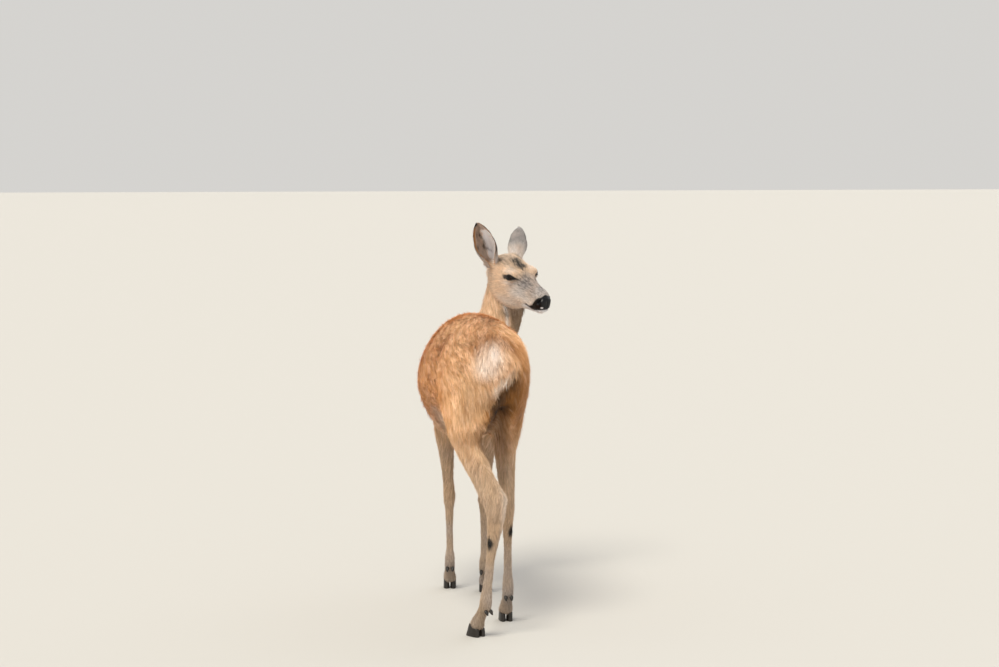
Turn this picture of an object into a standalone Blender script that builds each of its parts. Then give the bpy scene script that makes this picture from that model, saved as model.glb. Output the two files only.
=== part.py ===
"""A roe deer doe in her summer coat, life size, standing still and looking back over her right side.

Run it with: blender --background --python part.py

Metres, +Z up. The deer faces -Y, and her left side is +X. The origin lies on the floor, under the middle of
her bounding box. The body is modelled whole from lofted limbs that are fused and smoothed, and is then parted
with thin cuts, so that every named part meets its neighbour across a narrow, even gap.
"""

import math
from dataclasses import dataclass

import bmesh
import bpy
from mathutils import Matrix, Vector

# ---------------------------------------------------------------- driving dimensions

CROUP_HEIGHT = 0.697  # floor to the top of the croup, her highest point but the head
CUT_GAP = 0.0004  # width of the thin cuts between parts
FLESH_VOXEL = 0.0042  # grid on which the limbs are fused
FLESH_FACES = 4000  # triangles kept on the fused body before it is parted

PELVIS_YAW = math.radians(8)  # the spine bends to her right: the hips point left of -Y,
CHEST_YAW = math.radians(-10)  # and the chest right of it
BEND_FROM, BEND_TO = 0.05, 0.42  # where the bend starts and ends, forward of the hip joints

EYE_RADIUS = 0.0130
EAR_WIDTH = 0.053
EAR_WALL = 0.0028
HOOF_LENGTH = 0.041
HOOF_WIDTH = 0.0150
CORONET_TOE = 0.0290  # height of the hoof's upper edge above the floor, at the toe
CORONET_HEEL = 0.0170  # and at the heel

EYE_PLACE = (0.0985, 0.0335, 0.0225)  # ahead, aside and crown, in the head's directions
UP = Vector((0, 0, 1))
SIDE = {"left": 1, "right": -1}


# ---------------------------------------------------------------- the bent frame of the body


def ease(t):
    """A smooth step from 0 to 1."""
    t = min(1.0, max(0.0, t))
    return t * t * (3 - 2 * t)


def spine_yaw(along):
    """The spine's direction at a distance forward of the hip joints, as an angle from -Y to her left."""
    return PELVIS_YAW + (CHEST_YAW - PELVIS_YAW) * ease((along - BEND_FROM) / (BEND_TO - BEND_FROM))


def forward_at(along):
    yaw = spine_yaw(along)
    return Vector((math.sin(yaw), -math.cos(yaw), 0))


def left_at(along):
    yaw = spine_yaw(along)
    return Vector((math.cos(yaw), math.sin(yaw), 0))


def body_point(along, left, height):
    """A point of the bent body: forward of the hips, left of the middle, and above the floor."""
    steps = 24
    spine = Vector((0, 0, 0))
    for k in range(steps):
        spine += forward_at(along * (k + 0.5) / steps) * (along / steps)
    return spine + left_at(along) * left + UP * height


# ---------------------------------------------------------------- lofts


@dataclass
class Section:
    """One closed section of a loft, with its own reach to each side of its centre."""

    centre: Vector
    side: Vector
    up: Vector
    left: float
    right: float
    top: float
    bottom: float
    square: float = 2.0  # 2 is an ellipse, and more is squarer

    def point(self, turn):
        c, s = math.cos(turn), math.sin(turn)
        across = math.copysign(abs(c) ** (2 / self.square), c)
        rise = math.copysign(abs(s) ** (2 / self.square), s)
        wide = self.left if c > 0 else self.right
        tall = self.top if s > 0 else self.bottom
        return self.centre + self.side * (across * wide) + self.up * (rise * tall)


def between(a, b, c, d, t):
    """The Catmull-Rom curve from b to c."""
    return 0.5 * (2 * b + (c - a) * t + (2 * a - 5 * b + 4 * c - d) * t * t + (3 * b - a - 3 * c + d) * t**3)


def refined(sections, steps):
    """The sections with smooth ones put between them."""
    fields = ("centre", "side", "up", "left", "right", "top", "bottom", "square")
    made = []
    last = len(sections) - 1
    for i in range(last):
        four = [sections[max(0, min(last, i + k))] for k in (-1, 0, 1, 2)]
        for k in range(steps):
            values = {f: between(*[getattr(s, f) for s in four], k / steps) for f in fields}
            for f in ("left", "right", "top", "bottom"):
                values[f] = max(0.001, values[f])
            values["side"] = values["side"].normalized()
            values["up"] = values["up"].normalized()
            made.append(Section(**values))
    return made + [sections[-1]]


def add_loft(bm, sections, steps=4, sides=24):
    """A closed tube through the sections."""
    rings = [
        [bm.verts.new(s.point(2 * math.pi * k / sides)) for k in range(sides)] for s in refined(sections, steps)
    ]
    faces = [bm.faces.new(rings[0]), bm.faces.new(rings[-1])]
    for a, b in zip(rings, rings[1:]):
        for k in range(sides):
            n = (k + 1) % sides
            faces.append(bm.faces.new((a[k], a[n], b[n], b[k])))
    bmesh.ops.recalc_face_normals(bm, faces=faces)


def add_bone(bm, start, end, ahead, stations, steps=4):
    """A limb round the line from start to end. A station is (share of the length, reach ahead, behind, aside)."""
    line = end - start
    front = (ahead - line.normalized() * ahead.dot(line.normalized())).normalized()
    side = front.cross(line).normalized()
    sections = [
        Section(start + line * t, front, side, before, behind, aside, aside)
        for t, before, behind, aside in stations
    ]
    add_loft(bm, sections, steps, 16)


def add_ball(bm, centre, axes, radii):
    """An ellipsoid with the given axes."""
    turn = Matrix([list(a.normalized()) for a in axes]).transposed().to_4x4()
    size = Matrix.Diagonal((*radii, 1))
    bmesh.ops.create_uvsphere(
        bm, u_segments=24, v_segments=14, radius=1, matrix=Matrix.Translation(centre) @ turn @ size
    )


# ---------------------------------------------------------------- trunk

# forward of the hip joints, top, height of the widest place, bottom, half width, squareness
TRUNK = (
    (-0.120, 0.604, 0.590, 0.572, 0.014, 2.1),
    (-0.108, 0.626, 0.590, 0.556, 0.034, 2.1),
    (-0.072, 0.653, 0.586, 0.530, 0.054, 2.1),
    (-0.020, 0.678, 0.582, 0.490, 0.075, 2.1),
    (0.050, 0.693, 0.576, 0.445, 0.086, 2.05),
    (0.115, CROUP_HEIGHT, 0.562, 0.418, 0.091, 1.9),
    (0.190, 0.692, 0.545, 0.398, 0.103, 1.8),
    (0.265, 0.684, 0.533, 0.386, 0.113, 1.75),
    (0.335, 0.675, 0.526, 0.377, 0.110, 1.8),
    (0.395, 0.666, 0.522, 0.375, 0.097, 1.9),
    (0.445, 0.658, 0.522, 0.380, 0.083, 2.0),
    (0.485, 0.642, 0.522, 0.394, 0.071, 2.0),
    (0.520, 0.615, 0.518, 0.416, 0.055, 2.0),
    (0.545, 0.580, 0.512, 0.446, 0.032, 2.0),
)


def add_trunk(bm):
    sections = []
    for along, top, widest, bottom, half, square in TRUNK:
        centre = body_point(along, 0, widest)
        sections.append(
            Section(centre, left_at(along), UP, half, half, top - widest, widest - bottom, square)
        )
    add_loft(bm, sections, 5, 32)
    # The breast, below the root of the neck.
    breast = body_point(0.475, -0.012, 0.520)
    add_ball(bm, breast, (forward_at(0.5), left_at(0.5), UP), (0.072, 0.060, 0.078))


# ---------------------------------------------------------------- legs


@dataclass
class HindLeg:
    """The joints of a hind leg, each as (forward of the hips, left of the middle, height)."""

    stifle: tuple
    hock: tuple
    fetlock: tuple
    toe_out: float  # turn of the foot away from the spine's direction, to her left


@dataclass
class ForeLeg:
    """The joints of a foreleg, given as a hind leg's are."""

    shoulder: tuple
    elbow: tuple
    knee: tuple
    fetlock: tuple
    toe_out: float


HIND = {
    "left": HindLeg((0.066, 0.061, 0.455), (-0.142, 0.031, 0.282), (-0.112, 0.045, 0.074), 0.42),
    "right": HindLeg((0.096, -0.054, 0.458), (0.012, -0.041, 0.284), (0.030, -0.048, 0.074), -0.12),
}
FORE = {
    "left": ForeLeg(
        (0.485, 0.046, 0.500), (0.405, 0.054, 0.410), (0.430, 0.044, 0.232), (0.436, 0.043, 0.068), 0.06
    ),
    "right": ForeLeg(
        (0.480, -0.046, 0.500), (0.380, -0.052, 0.410), (0.392, -0.042, 0.232), (0.392, -0.042, 0.068), -0.06
    ),
}
PASTERN_REACH = 0.026  # how far the coronet lies ahead of the fetlock
PASTERN_DROP = 0.046  # and below it


def foot_ahead(leg):
    """The direction in which a foot points."""
    yaw = spine_yaw(leg.fetlock[0]) + leg.toe_out
    return Vector((math.sin(yaw), -math.cos(yaw), 0))


def pastern_end(leg):
    return body_point(*leg.fetlock) + foot_ahead(leg) * PASTERN_REACH - UP * PASTERN_DROP


# height, rear end (forward, left), front end (forward, left), reach outward, reach inward
THIGH = {
    "left": (
        (0.678, (0.000, 0.018), (0.070, 0.032), 0.012, 0.024),
        (0.652, (-0.072, 0.014), (0.108, 0.052), 0.030, 0.040),
        (0.614, (-0.106, 0.012), (0.124, 0.068), 0.040, 0.042),
        (0.572, (-0.120, 0.010), (0.126, 0.074), 0.0410, 0.036),
        (0.530, (-0.120, 0.014), (0.125, 0.075), 0.0410, 0.032),
        (0.495, (-0.110, 0.022), (0.120, 0.073), 0.0390, 0.028),
        (0.465, (-0.088, 0.038), (0.108, 0.067), 0.0340, 0.024),
        (0.435, (-0.066, 0.046), (0.086, 0.063), 0.0270, 0.020),
        (0.405, (-0.058, 0.046), (0.054, 0.059), 0.0200, 0.016),
        (0.378, (-0.066, 0.042), (0.012, 0.053), 0.0140, 0.011),
        (0.358, (-0.070, 0.040), (-0.025, 0.050), 0.0080, 0.006),
    ),
    "right": (
        (0.678, (0.000, 0.018), (0.070, 0.032), 0.014, 0.024),
        (0.652, (-0.072, 0.014), (0.108, 0.052), 0.034, 0.040),
        (0.614, (-0.106, 0.016), (0.123, 0.062), 0.043, 0.042),
        (0.572, (-0.119, 0.016), (0.127, 0.065), 0.0450, 0.036),
        (0.530, (-0.115, 0.018), (0.130, 0.064), 0.0410, 0.030),
        (0.495, (-0.100, 0.020), (0.132, 0.062), 0.0360, 0.024),
        (0.465, (-0.078, 0.024), (0.128, 0.060), 0.0330, 0.018),
        (0.435, (-0.050, 0.029), (0.114, 0.060), 0.0290, 0.015),
        (0.405, (-0.024, 0.033), (0.092, 0.056), 0.0230, 0.013),
        (0.378, (-0.002, 0.034), (0.066, 0.051), 0.0140, 0.010),
        (0.358, (0.016, 0.036), (0.048, 0.048), 0.0080, 0.006),
    ),
}
SHANK = (
    (-0.10, 0.020, 0.030, 0.020),
    (0.00, 0.034, 0.050, 0.027),
    (0.18, 0.034, 0.052, 0.028),
    (0.40, 0.028, 0.046, 0.0250),
    (0.65, 0.022, 0.040, 0.0205),
    (0.85, 0.020, 0.037, 0.0175),
    (0.98, 0.020, 0.030, 0.0160),
    (1.08, 0.016, 0.022, 0.0150),
)
HIND_CANNON = (
    (-0.235, -0.012, 0.027, 0.0070),
    (-0.190, -0.004, 0.034, 0.0105),
    (-0.100, 0.010, 0.034, 0.0135),
    (0.000, 0.021, 0.029, 0.0170),
    (0.110, 0.018, 0.028, 0.0160),
    (0.260, 0.013, 0.022, 0.0125),
    (0.500, 0.0110, 0.0140, 0.0098),
    (0.780, 0.0110, 0.0140, 0.0102),
    (0.940, 0.0145, 0.0175, 0.0138),
    (1.040, 0.0130, 0.0165, 0.0130),
)
TENDON = (
    (-0.30, 0.016, 0.014, 0.014),
    (0.00, 0.020, 0.016, 0.0150),
    (0.50, 0.016, 0.012, 0.0105),
    (0.85, 0.014, 0.010, 0.0090),
    (1.00, 0.012, 0.010, 0.0088),
)
UPPER_ARM = (
    (-0.20, 0.020, 0.030, 0.018),
    (0.00, 0.034, 0.044, 0.028),
    (0.45, 0.042, 0.060, 0.033),
    (0.90, 0.034, 0.046, 0.029),
    (1.15, 0.018, 0.026, 0.018),
)
FOREARM = (
    (-0.18, 0.022, 0.030, 0.020),
    (0.00, 0.031, 0.036, 0.0265),
    (0.20, 0.029, 0.031, 0.0240),
    (0.42, 0.0225, 0.0225, 0.0190),
    (0.72, 0.0165, 0.0160, 0.0142),
    (0.90, 0.0165, 0.0165, 0.0150),
    (1.04, 0.0170, 0.0180, 0.0158),
)
FORE_CANNON = (
    (-0.08, 0.0160, 0.0170, 0.0150),
    (0.05, 0.0160, 0.0180, 0.0150),
    (0.20, 0.0120, 0.0150, 0.0115),
    (0.50, 0.0102, 0.0125, 0.0094),
    (0.80, 0.0108, 0.0130, 0.0100),
    (0.94, 0.0140, 0.0165, 0.0132),
    (1.04, 0.0125, 0.0155, 0.0125),
)
PASTERN = (
    (-0.15, 0.0110, 0.0130, 0.0115),
    (0.15, 0.0130, 0.0150, 0.0132),
    (0.50, 0.0125, 0.0130, 0.0125),
    (0.85, 0.0160, 0.0150, 0.0152),
    (1.25, 0.0175, 0.0155, 0.0165),
)


def add_thigh(bm, rows, side):
    """The haunch, from level sections that each run from a rear end to a front end. side is 1 for the left."""
    sections = []
    for height, rear, front, outward, inward in rows:
        back = body_point(rear[0], side * rear[1], height)
        fore = body_point(front[0], side * front[1], height)
        ahead = (fore - back).normalized()
        out = ahead.cross(UP) * -side
        half = (fore - back).length / 2
        sections.append(Section((back + fore) / 2, ahead, out, half, half, outward, inward, 2.5))
    add_loft(bm, sections, 4, 28)


def add_hind_leg(bm, leg, rows, side):
    stifle, hock, fetlock = (body_point(*p) for p in (leg.stifle, leg.hock, leg.fetlock))
    ahead = forward_at(0)
    foot = foot_ahead(leg)
    add_thigh(bm, rows, side)
    add_bone(bm, stifle, hock, (ahead + foot) / 2, SHANK)
    add_bone(bm, hock, fetlock, foot, HIND_CANNON)
    add_bone(bm, fetlock, pastern_end(leg), foot, PASTERN)
    # The tendon that runs down the back of the shank to the point of the hock.
    shank = hock - stifle
    cannon = (hock - fetlock).normalized()
    point_of_hock = hock + cannon * 0.036 - foot * 0.024
    back = -(ahead - shank.normalized() * ahead.dot(shank.normalized())).normalized()
    calf = stifle + shank * 0.35 + back * 0.030
    add_bone(bm, calf, point_of_hock, ahead, TENDON)


def add_fore_leg(bm, leg, side):
    shoulder, elbow, knee, fetlock = (body_point(*p) for p in (leg.shoulder, leg.elbow, leg.knee, leg.fetlock))
    ahead = forward_at(0.42)
    foot = foot_ahead(leg)
    add_bone(bm, shoulder, elbow, ahead, UPPER_ARM)
    add_bone(bm, elbow, knee, ahead, FOREARM)
    add_bone(bm, knee, fetlock, foot, FORE_CANNON)
    add_bone(bm, fetlock, pastern_end(leg), foot, PASTERN)
    # The shoulder blade and its muscles, which lie flat on the chest.
    blade = body_point(0.428, side * 0.047, 0.560)
    rise = (UP + ahead * 0.25 - left_at(0.42) * (side * 0.30)).normalized()
    flat = left_at(0.42).cross(rise)
    add_ball(bm, blade, (rise, flat, flat.cross(rise)), (0.082, 0.052, 0.024))
    # The point of the elbow.
    add_ball(bm, elbow - ahead * 0.022 + UP * 0.006, (ahead, left_at(0.4), UP), (0.018, 0.013, 0.020))


# ---------------------------------------------------------------- neck and head

HEAD_BACK = Vector((-0.083, -0.534, 0.770))  # where the skull meets the neck
HEAD_TURN = math.radians(146)  # from straight ahead to her right
HEAD_PITCH = math.radians(18)  # the muzzle points down
HEAD_TILT = math.radians(7)  # the left side of the head is raised


def head_axes():
    """Unit vectors along the muzzle, to the head's left and out of its crown."""
    turn = Matrix.Rotation(-HEAD_TURN, 3, "Z")
    ahead = turn @ Vector((0, -1, 0))
    left = turn @ Vector((1, 0, 0))
    ahead = Matrix.Rotation(HEAD_PITCH, 3, left) @ ahead
    crown = ahead.cross(left) * -1
    if crown.z < 0:
        crown.negate()
    tilt = Matrix.Rotation(HEAD_TILT, 3, ahead)
    if (tilt @ left).z < left.z:
        tilt.transpose()
    return ahead, tilt @ left, tilt @ crown


AHEAD, LEFT, CROWN = head_axes()


def head_point(ahead, left, crown):
    return HEAD_BACK + AHEAD * ahead + LEFT * left + CROWN * crown


# forward of the back of the skull, top, height of the widest place, bottom, half width, squareness
SKULL = (
    (-0.004, 0.022, 0.002, -0.022, 0.020, 2.0),
    (0.010, 0.041, 0.004, -0.036, 0.034, 2.0),
    (0.030, 0.053, 0.008, -0.054, 0.041, 2.1),
    (0.052, 0.056, 0.012, -0.068, 0.043, 2.2),
    (0.075, 0.050, 0.012, -0.068, 0.044, 2.3),
    (0.098, 0.042, 0.006, -0.061, 0.040, 2.3),
    (0.120, 0.031, -0.004, -0.055, 0.033, 2.3),
    (0.143, 0.022, -0.010, -0.049, 0.026, 2.4),
    (0.164, 0.018, -0.012, -0.046, 0.0230, 2.5),
    (0.180, 0.016, -0.013, -0.045, 0.0220, 2.5),
    (0.191, 0.010, -0.014, -0.041, 0.0195, 2.4),
    (0.199, 0.000, -0.015, -0.031, 0.0130, 2.2),
)


def add_head(bm):
    sections = [
        Section(head_point(a, 0, widest), LEFT, CROWN, half, half, top - widest, widest - bottom, square)
        for a, top, widest, bottom, half, square in SKULL
    ]
    add_loft(bm, sections, 5, 28)
    for side in (1, -1):
        # The bony rim over the eye, the cheek muscle and the root of the ear.
        add_ball(bm, head_point(0.093, side * 0.0330, 0.0285), (AHEAD, LEFT, CROWN), (0.021, 0.0125, 0.0120))
        add_ball(bm, head_point(0.060, side * 0.0250, -0.0260), (AHEAD, LEFT, CROWN), (0.034, 0.0175, 0.030))
        add_ball(bm, head_point(0.030, side * 0.0300, 0.0350), (AHEAD, LEFT, CROWN), (0.021, 0.0190, 0.020))


# centre, half width, reach to the throat side, reach to the nape side, how far the throat side faces right
NECK = (
    (body_point(0.390, 0.000, 0.560), 0.056, 0.080, 0.070, 10),
    (body_point(0.450, -0.012, 0.565), 0.062, 0.084, 0.074, 16),
    (Vector((-0.050, -0.499, 0.595)), 0.058, 0.074, 0.064, 35),
    (Vector((-0.080, -0.523, 0.632)), 0.051, 0.063, 0.052, 66),
    (Vector((-0.098, -0.527, 0.675)), 0.044, 0.055, 0.047, 104),
    (Vector((-0.106, -0.516, 0.718)), 0.041, 0.053, 0.048, 132),
    (Vector((-0.108, -0.503, 0.752)), 0.039, 0.048, 0.047, 146),
    (Vector((-0.108, -0.497, 0.782)), 0.026, 0.030, 0.030, 146),
)


def add_neck(bm):
    sections = []
    last = len(NECK) - 1
    for k, (centre, half, throat, nape, turn) in enumerate(NECK):
        before, after = NECK[max(0, k - 1)][0], NECK[min(last, k + 1)][0]
        line = (after - before).normalized()
        face = Matrix.Rotation(-math.radians(turn), 3, "Z") @ Vector((0, -1, 0))
        face = (face - line * face.dot(line)).normalized()
        sections.append(Section(centre, line.cross(face), face, half, half, throat, nape))
    add_loft(bm, sections, 5, 28)


# ---------------------------------------------------------------- objects, materials and cuts


def clear_scene():
    for obj in list(bpy.data.objects):
        bpy.data.objects.remove(obj)


def material(name, colour, roughness, metallic=0.0):
    found = bpy.data.materials.get(name)
    if found:
        return found
    made = bpy.data.materials.new(name)
    made.use_nodes = True
    shader = made.node_tree.nodes["Principled BSDF"]
    shader.inputs["Base Color"].default_value = (*colour, 1)
    shader.inputs["Roughness"].default_value = roughness
    shader.inputs["Metallic"].default_value = metallic
    return made


def collection(name, hidden=False):
    made = bpy.data.collections.new(name)
    made.hide_render = hidden
    bpy.context.scene.collection.children.link(made)
    return made


def mesh_object(name, bm, home, finish=None):
    mesh = bpy.data.meshes.new(name)
    bm.to_mesh(mesh)
    bm.free()
    obj = bpy.data.objects.new(name, mesh)
    home.objects.link(obj)
    if finish:
        mesh.materials.append(finish)
    return obj


def helper(obj):
    """Marks a cutter, which the build leaves out."""
    obj.hide_render = True
    obj.display_type = "WIRE"
    return obj


def evaluated_copy(obj):
    """The object's mesh with its modifiers applied."""
    bpy.context.view_layer.update()
    graph = bpy.context.evaluated_depsgraph_get()
    return bpy.data.meshes.new_from_object(obj.evaluated_get(graph))


def apply_modifiers(obj):
    mesh = evaluated_copy(obj)
    obj.modifiers.clear()
    old = obj.data
    obj.data = mesh
    bpy.data.meshes.remove(old)
    return obj


def cut(obj, cutter, operation="DIFFERENCE"):
    boolean = obj.modifiers.new("Cut", "BOOLEAN")
    boolean.operation = operation
    boolean.solver = "EXACT"
    boolean.object = cutter
    return apply_modifiers(obj)


def region(name, rows, home):
    """A closed solid through four-cornered level sections. It is used to take a part off."""
    bm = bmesh.new()
    rings = [[bm.verts.new(corner) for corner in row] for row in rows]
    bm.faces.new(rings[0])
    bm.faces.new(rings[-1])
    for a, b in zip(rings, rings[1:]):
        for k in range(4):
            n = (k + 1) % 4
            bm.faces.new((a[k], a[n], b[n], b[k]))
    bmesh.ops.recalc_face_normals(bm, faces=bm.faces)
    return helper(mesh_object(name, bm, home))


def beyond(name, centre, normal, reach, wide, home, across=None, deep=None):
    """A box that stands on a plane, on the side its normal points to, and this wide each way along it."""
    normal = normal.normalized()
    across = (across or normal.orthogonal()).normalized()
    other = normal.cross(across).normalized()
    corners = [(-1, -1), (1, -1), (1, 1), (-1, 1)]
    foot = [centre + across * x * wide + other * y * (deep or wide) for x, y in corners]
    return region(name, (foot, [p + normal * reach for p in foot]), home)


def taken_off(body, name, exact, grown, home):
    """What of the body lies in the region. The body loses that, and the gap round it."""
    part = bpy.data.objects.new(name, body.data.copy())
    home.objects.link(part)
    cut(part, exact, "INTERSECT")
    cut(body, grown)
    return part


# ---------------------------------------------------------------- the fused body


def fused_body(home):
    """Every limb in one closed, smoothed skin."""
    bm = bmesh.new()
    add_trunk(bm)
    for name, leg in HIND.items():
        add_hind_leg(bm, leg, THIGH[name], SIDE[name])
    for name, leg in FORE.items():
        add_fore_leg(bm, leg, SIDE[name])
    add_neck(bm)
    add_head(bm)
    body = mesh_object("trunk", bm, home, coat())
    remesh = body.modifiers.new("Fuse", "REMESH")
    remesh.mode = "VOXEL"
    remesh.voxel_size = FLESH_VOXEL
    smooth = body.modifiers.new("Blend", "SMOOTH")
    smooth.factor = 0.5
    smooth.iterations = 12
    body.modifiers.new("Triangles", "TRIANGULATE")
    apply_modifiers(body)
    # The face, the ears' roots and the lower legs are fine work, and keep more of their faces.
    coarse = body.vertex_groups.new(name="coarse")
    for v in body.data.vertices:
        near_face = (v.co - head_point(0.10, 0, 0)).length < 0.125
        coarse.add([v.index], 0.1 if near_face else 0.6 if v.co.z < 0.30 else 1.0, "REPLACE")
    fewer = body.modifiers.new("Fewer faces", "DECIMATE")
    fewer.ratio = FLESH_FACES / len(body.data.polygons)
    fewer.vertex_group = coarse.name
    fewer.vertex_group_factor = 0.0002
    apply_modifiers(body)
    body.vertex_groups.clear()
    return body


def coat():
    return material("red_summer_coat", (0.42, 0.19, 0.07), 0.9)


# height, rear, front, inner side, outer side, in the bent frame
HIND_REGION = (
    (-0.010, -0.250, 0.160, 0.0020, 0.160),
    (0.400, -0.250, 0.160, 0.0020, 0.160),
    (0.470, -0.200, 0.140, 0.0040, 0.160),
    (0.530, -0.180, 0.132, 0.0180, 0.160),
    (0.580, -0.160, 0.124, 0.0450, 0.160),
    (0.620, -0.130, 0.112, 0.0720, 0.160),
    (0.650, -0.100, 0.095, 0.0950, 0.160),
)
FORE_REGION = (
    (-0.010, 0.250, 0.560, 0.0020, 0.160),
    (0.368, 0.250, 0.560, 0.0020, 0.160),
    (0.392, 0.300, 0.540, 0.0200, 0.160),
    (0.440, 0.320, 0.525, 0.0480, 0.160),
    (0.500, 0.335, 0.520, 0.0640, 0.160),
    (0.560, 0.350, 0.515, 0.0780, 0.160),
    (0.600, 0.365, 0.500, 0.0950, 0.160),
)


def leg_region(name, rows, side, grow, home):
    """The space a leg takes up, made larger inward, ahead, behind and above by grow."""
    made = []
    for k, (height, rear, front, inner, outer) in enumerate(rows):
        lift = grow if k else 0
        made.append(
            [
                body_point(f, side * l, height + lift)
                for f, l in (
                    (rear - grow, inner - grow),
                    (front + grow, inner - grow),
                    (front + grow, outer),
                    (rear - grow, outer),
                )
            ]
        )
    return region(name, made, home)


# ---------------------------------------------------------------- ears


@dataclass
class Ear:
    """An ear, given in the head's own directions: ahead, left, crown."""

    root: tuple
    axis: tuple
    opening: tuple
    length: float


EARS = {
    "left": Ear((0.031, 0.0345, 0.0370), (-0.66, 0.60, 0.45), (-0.20, 0.50, -0.84), 0.104),
    "right": Ear((0.027, -0.0385, 0.0370), (-0.12, -0.43, 0.895), (0.84, -0.52, -0.14), 0.116),
}
# share of the length, and half width there as a share of half the ear's width
EAR_OUTLINE = (
    (0.0, 0.66),
    (0.12, 0.78),
    (0.30, 0.95),
    (0.48, 1.0),
    (0.66, 0.87),
    (0.80, 0.64),
    (0.92, 0.36),
    (1.0, 0.10),
)


def direction(local):
    return (AHEAD * local[0] + LEFT * local[1] + CROWN * local[2]).normalized()


def ear_half_width(t):
    """From the root, at 0, to the tip, at 1."""
    for (t0, w0), (t1, w1) in zip(EAR_OUTLINE, EAR_OUTLINE[1:]):
        if t <= t1:
            return EAR_WIDTH / 2 * (w0 + (w1 - w0) * (t - t0) / (t1 - t0))
    return EAR_WIDTH / 2 * EAR_OUTLINE[-1][1]


def ear_curl(t):
    """Half the angle of the arc the ear's section makes."""
    return math.radians(155 - 95 * ease(t * 1.2))


def build_ear(name, ear, home):
    root = head_point(*ear.root)
    axis = direction(ear.axis)
    opening = direction(ear.opening)
    opening = (opening - axis * opening.dot(axis)).normalized()
    across = axis.cross(opening)
    rows, columns = 9, 9
    bm = bmesh.new()
    shells = []
    for inside in (False, True):
        grid = []
        for i in range(rows):
            t = i / (rows - 1)
            curl = ear_curl(t)
            wide = ear_half_width(t)
            radius = wide / (math.sin(curl) if curl < math.pi / 2 else 1.0)
            wall = EAR_WALL * (1 - 0.45 * t)
            root_share = 1 - ease(t / 0.55)
            spine = wide * (root_share + 0.45 * (1 - root_share)) + 0.005 * math.sin(math.pi * t)
            centre = root + axis * (ear.length * t) - opening * spine
            ring = []
            for j in range(columns):
                v = 2 * j / (columns - 1) - 1
                turn = v * curl
                reach = radius - (wall * (1 - 0.5 * v * v) if inside else 0)
                offset = opening * (radius - reach * math.cos(turn))
                ring.append(bm.verts.new(centre + across * (reach * math.sin(turn)) + offset))
            grid.append(ring)
        shells.append(grid)
    outer, inner = shells
    for i in range(rows - 1):
        for j in range(columns - 1):
            bm.faces.new((outer[i][j], outer[i][j + 1], outer[i + 1][j + 1], outer[i + 1][j]))
            bm.faces.new((inner[i][j + 1], inner[i][j], inner[i + 1][j], inner[i + 1][j + 1]))
        for j in (0, columns - 1):
            bm.faces.new((outer[i][j], outer[i + 1][j], inner[i + 1][j], inner[i][j]))
    for i in (0, rows - 1):
        for j in range(columns - 1):
            bm.faces.new((outer[i][j], outer[i][j + 1], inner[i][j + 1], inner[i][j]))
    bmesh.ops.recalc_face_normals(bm, faces=bm.faces)
    bmesh.ops.triangulate(bm, faces=bm.faces)
    return mesh_object(name, bm, home, coat())


# ---------------------------------------------------------------- hooves, eyes and tail


def hoof_slope():
    return (CORONET_TOE - CORONET_HEEL) / (HOOF_LENGTH * 0.74)


def build_hoof(name, middle, ahead, side, home):
    """One claw. side is 1 for the one on the foot's left."""
    aside = Matrix.Rotation(math.pi / 2, 3, "Z") @ ahead
    bm = bmesh.new()
    rings = []
    for level in (0.0, 0.5, 1.0):
        ring = []
        toe = HOOF_LENGTH * (0.56 - 0.26 * level)
        heel = HOOF_LENGTH * (0.44 - 0.02 * level)
        for k in range(12):
            turn = 2 * math.pi * k / 12
            c, s = math.cos(turn), math.sin(turn)
            x = toe * c if c > 0 else heel * c
            wide = HOOF_WIDTH / 2 * (1.0 - 0.10 * level)
            taper = 1 - 0.45 * max(0.0, c) ** 2
            y = wide * math.copysign(abs(s) ** 0.8, s) * taper
            splay = 0.0026 * max(0.0, x / HOOF_LENGTH) * 2
            z = level * (CORONET_HEEL + (x + heel) * hoof_slope())
            across = side * (HOOF_WIDTH / 2 + 0.0006) + y + side * splay
            ring.append(bm.verts.new(middle + ahead * x + aside * across + UP * z))
        rings.append(ring)
    bm.faces.new(rings[0])
    bm.faces.new(rings[-1])
    for a, b in zip(rings, rings[1:]):
        for k in range(12):
            n = (k + 1) % 12
            bm.faces.new((a[k], a[n], b[n], b[k]))
    bmesh.ops.recalc_face_normals(bm, faces=bm.faces)
    bmesh.ops.triangulate(bm, faces=bm.faces)
    return mesh_object(name, bm, home, material("black_horn", (0.02, 0.018, 0.016), 0.4))


def spindle(name, start, end, radius, flat, home, finish=None):
    """A blunt cone with rounded ends, flattened along one direction."""
    line = end - start
    side = line.cross(flat).normalized()
    thin = side.cross(line).normalized()
    profile = ((0.0, 0.45), (0.2, 0.95), (0.55, 0.90), (1.0, 0.28))
    bm = bmesh.new()
    rings = []
    for t, share in profile:
        ring = []
        for k in range(8):
            turn = 2 * math.pi * k / 8
            offset = side * math.cos(turn) + thin * (0.72 * math.sin(turn))
            ring.append(bm.verts.new(start + line * t + offset * (radius * share)))
        rings.append(ring)
    bm.faces.new(rings[0])
    bm.faces.new(rings[-1])
    for a, b in zip(rings, rings[1:]):
        for k in range(8):
            n = (k + 1) % 8
            bm.faces.new((a[k], a[n], b[n], b[k]))
    bmesh.ops.recalc_face_normals(bm, faces=bm.faces)
    bmesh.ops.triangulate(bm, faces=bm.faces)
    return mesh_object(name, bm, home, finish)


def eye_ball(name, centre, radius, home, finish=None):
    bm = bmesh.new()
    place = Matrix.Translation(centre)
    bmesh.ops.create_uvsphere(bm, u_segments=12, v_segments=8, radius=radius, matrix=place)
    return mesh_object(name, bm, home, finish)


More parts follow.
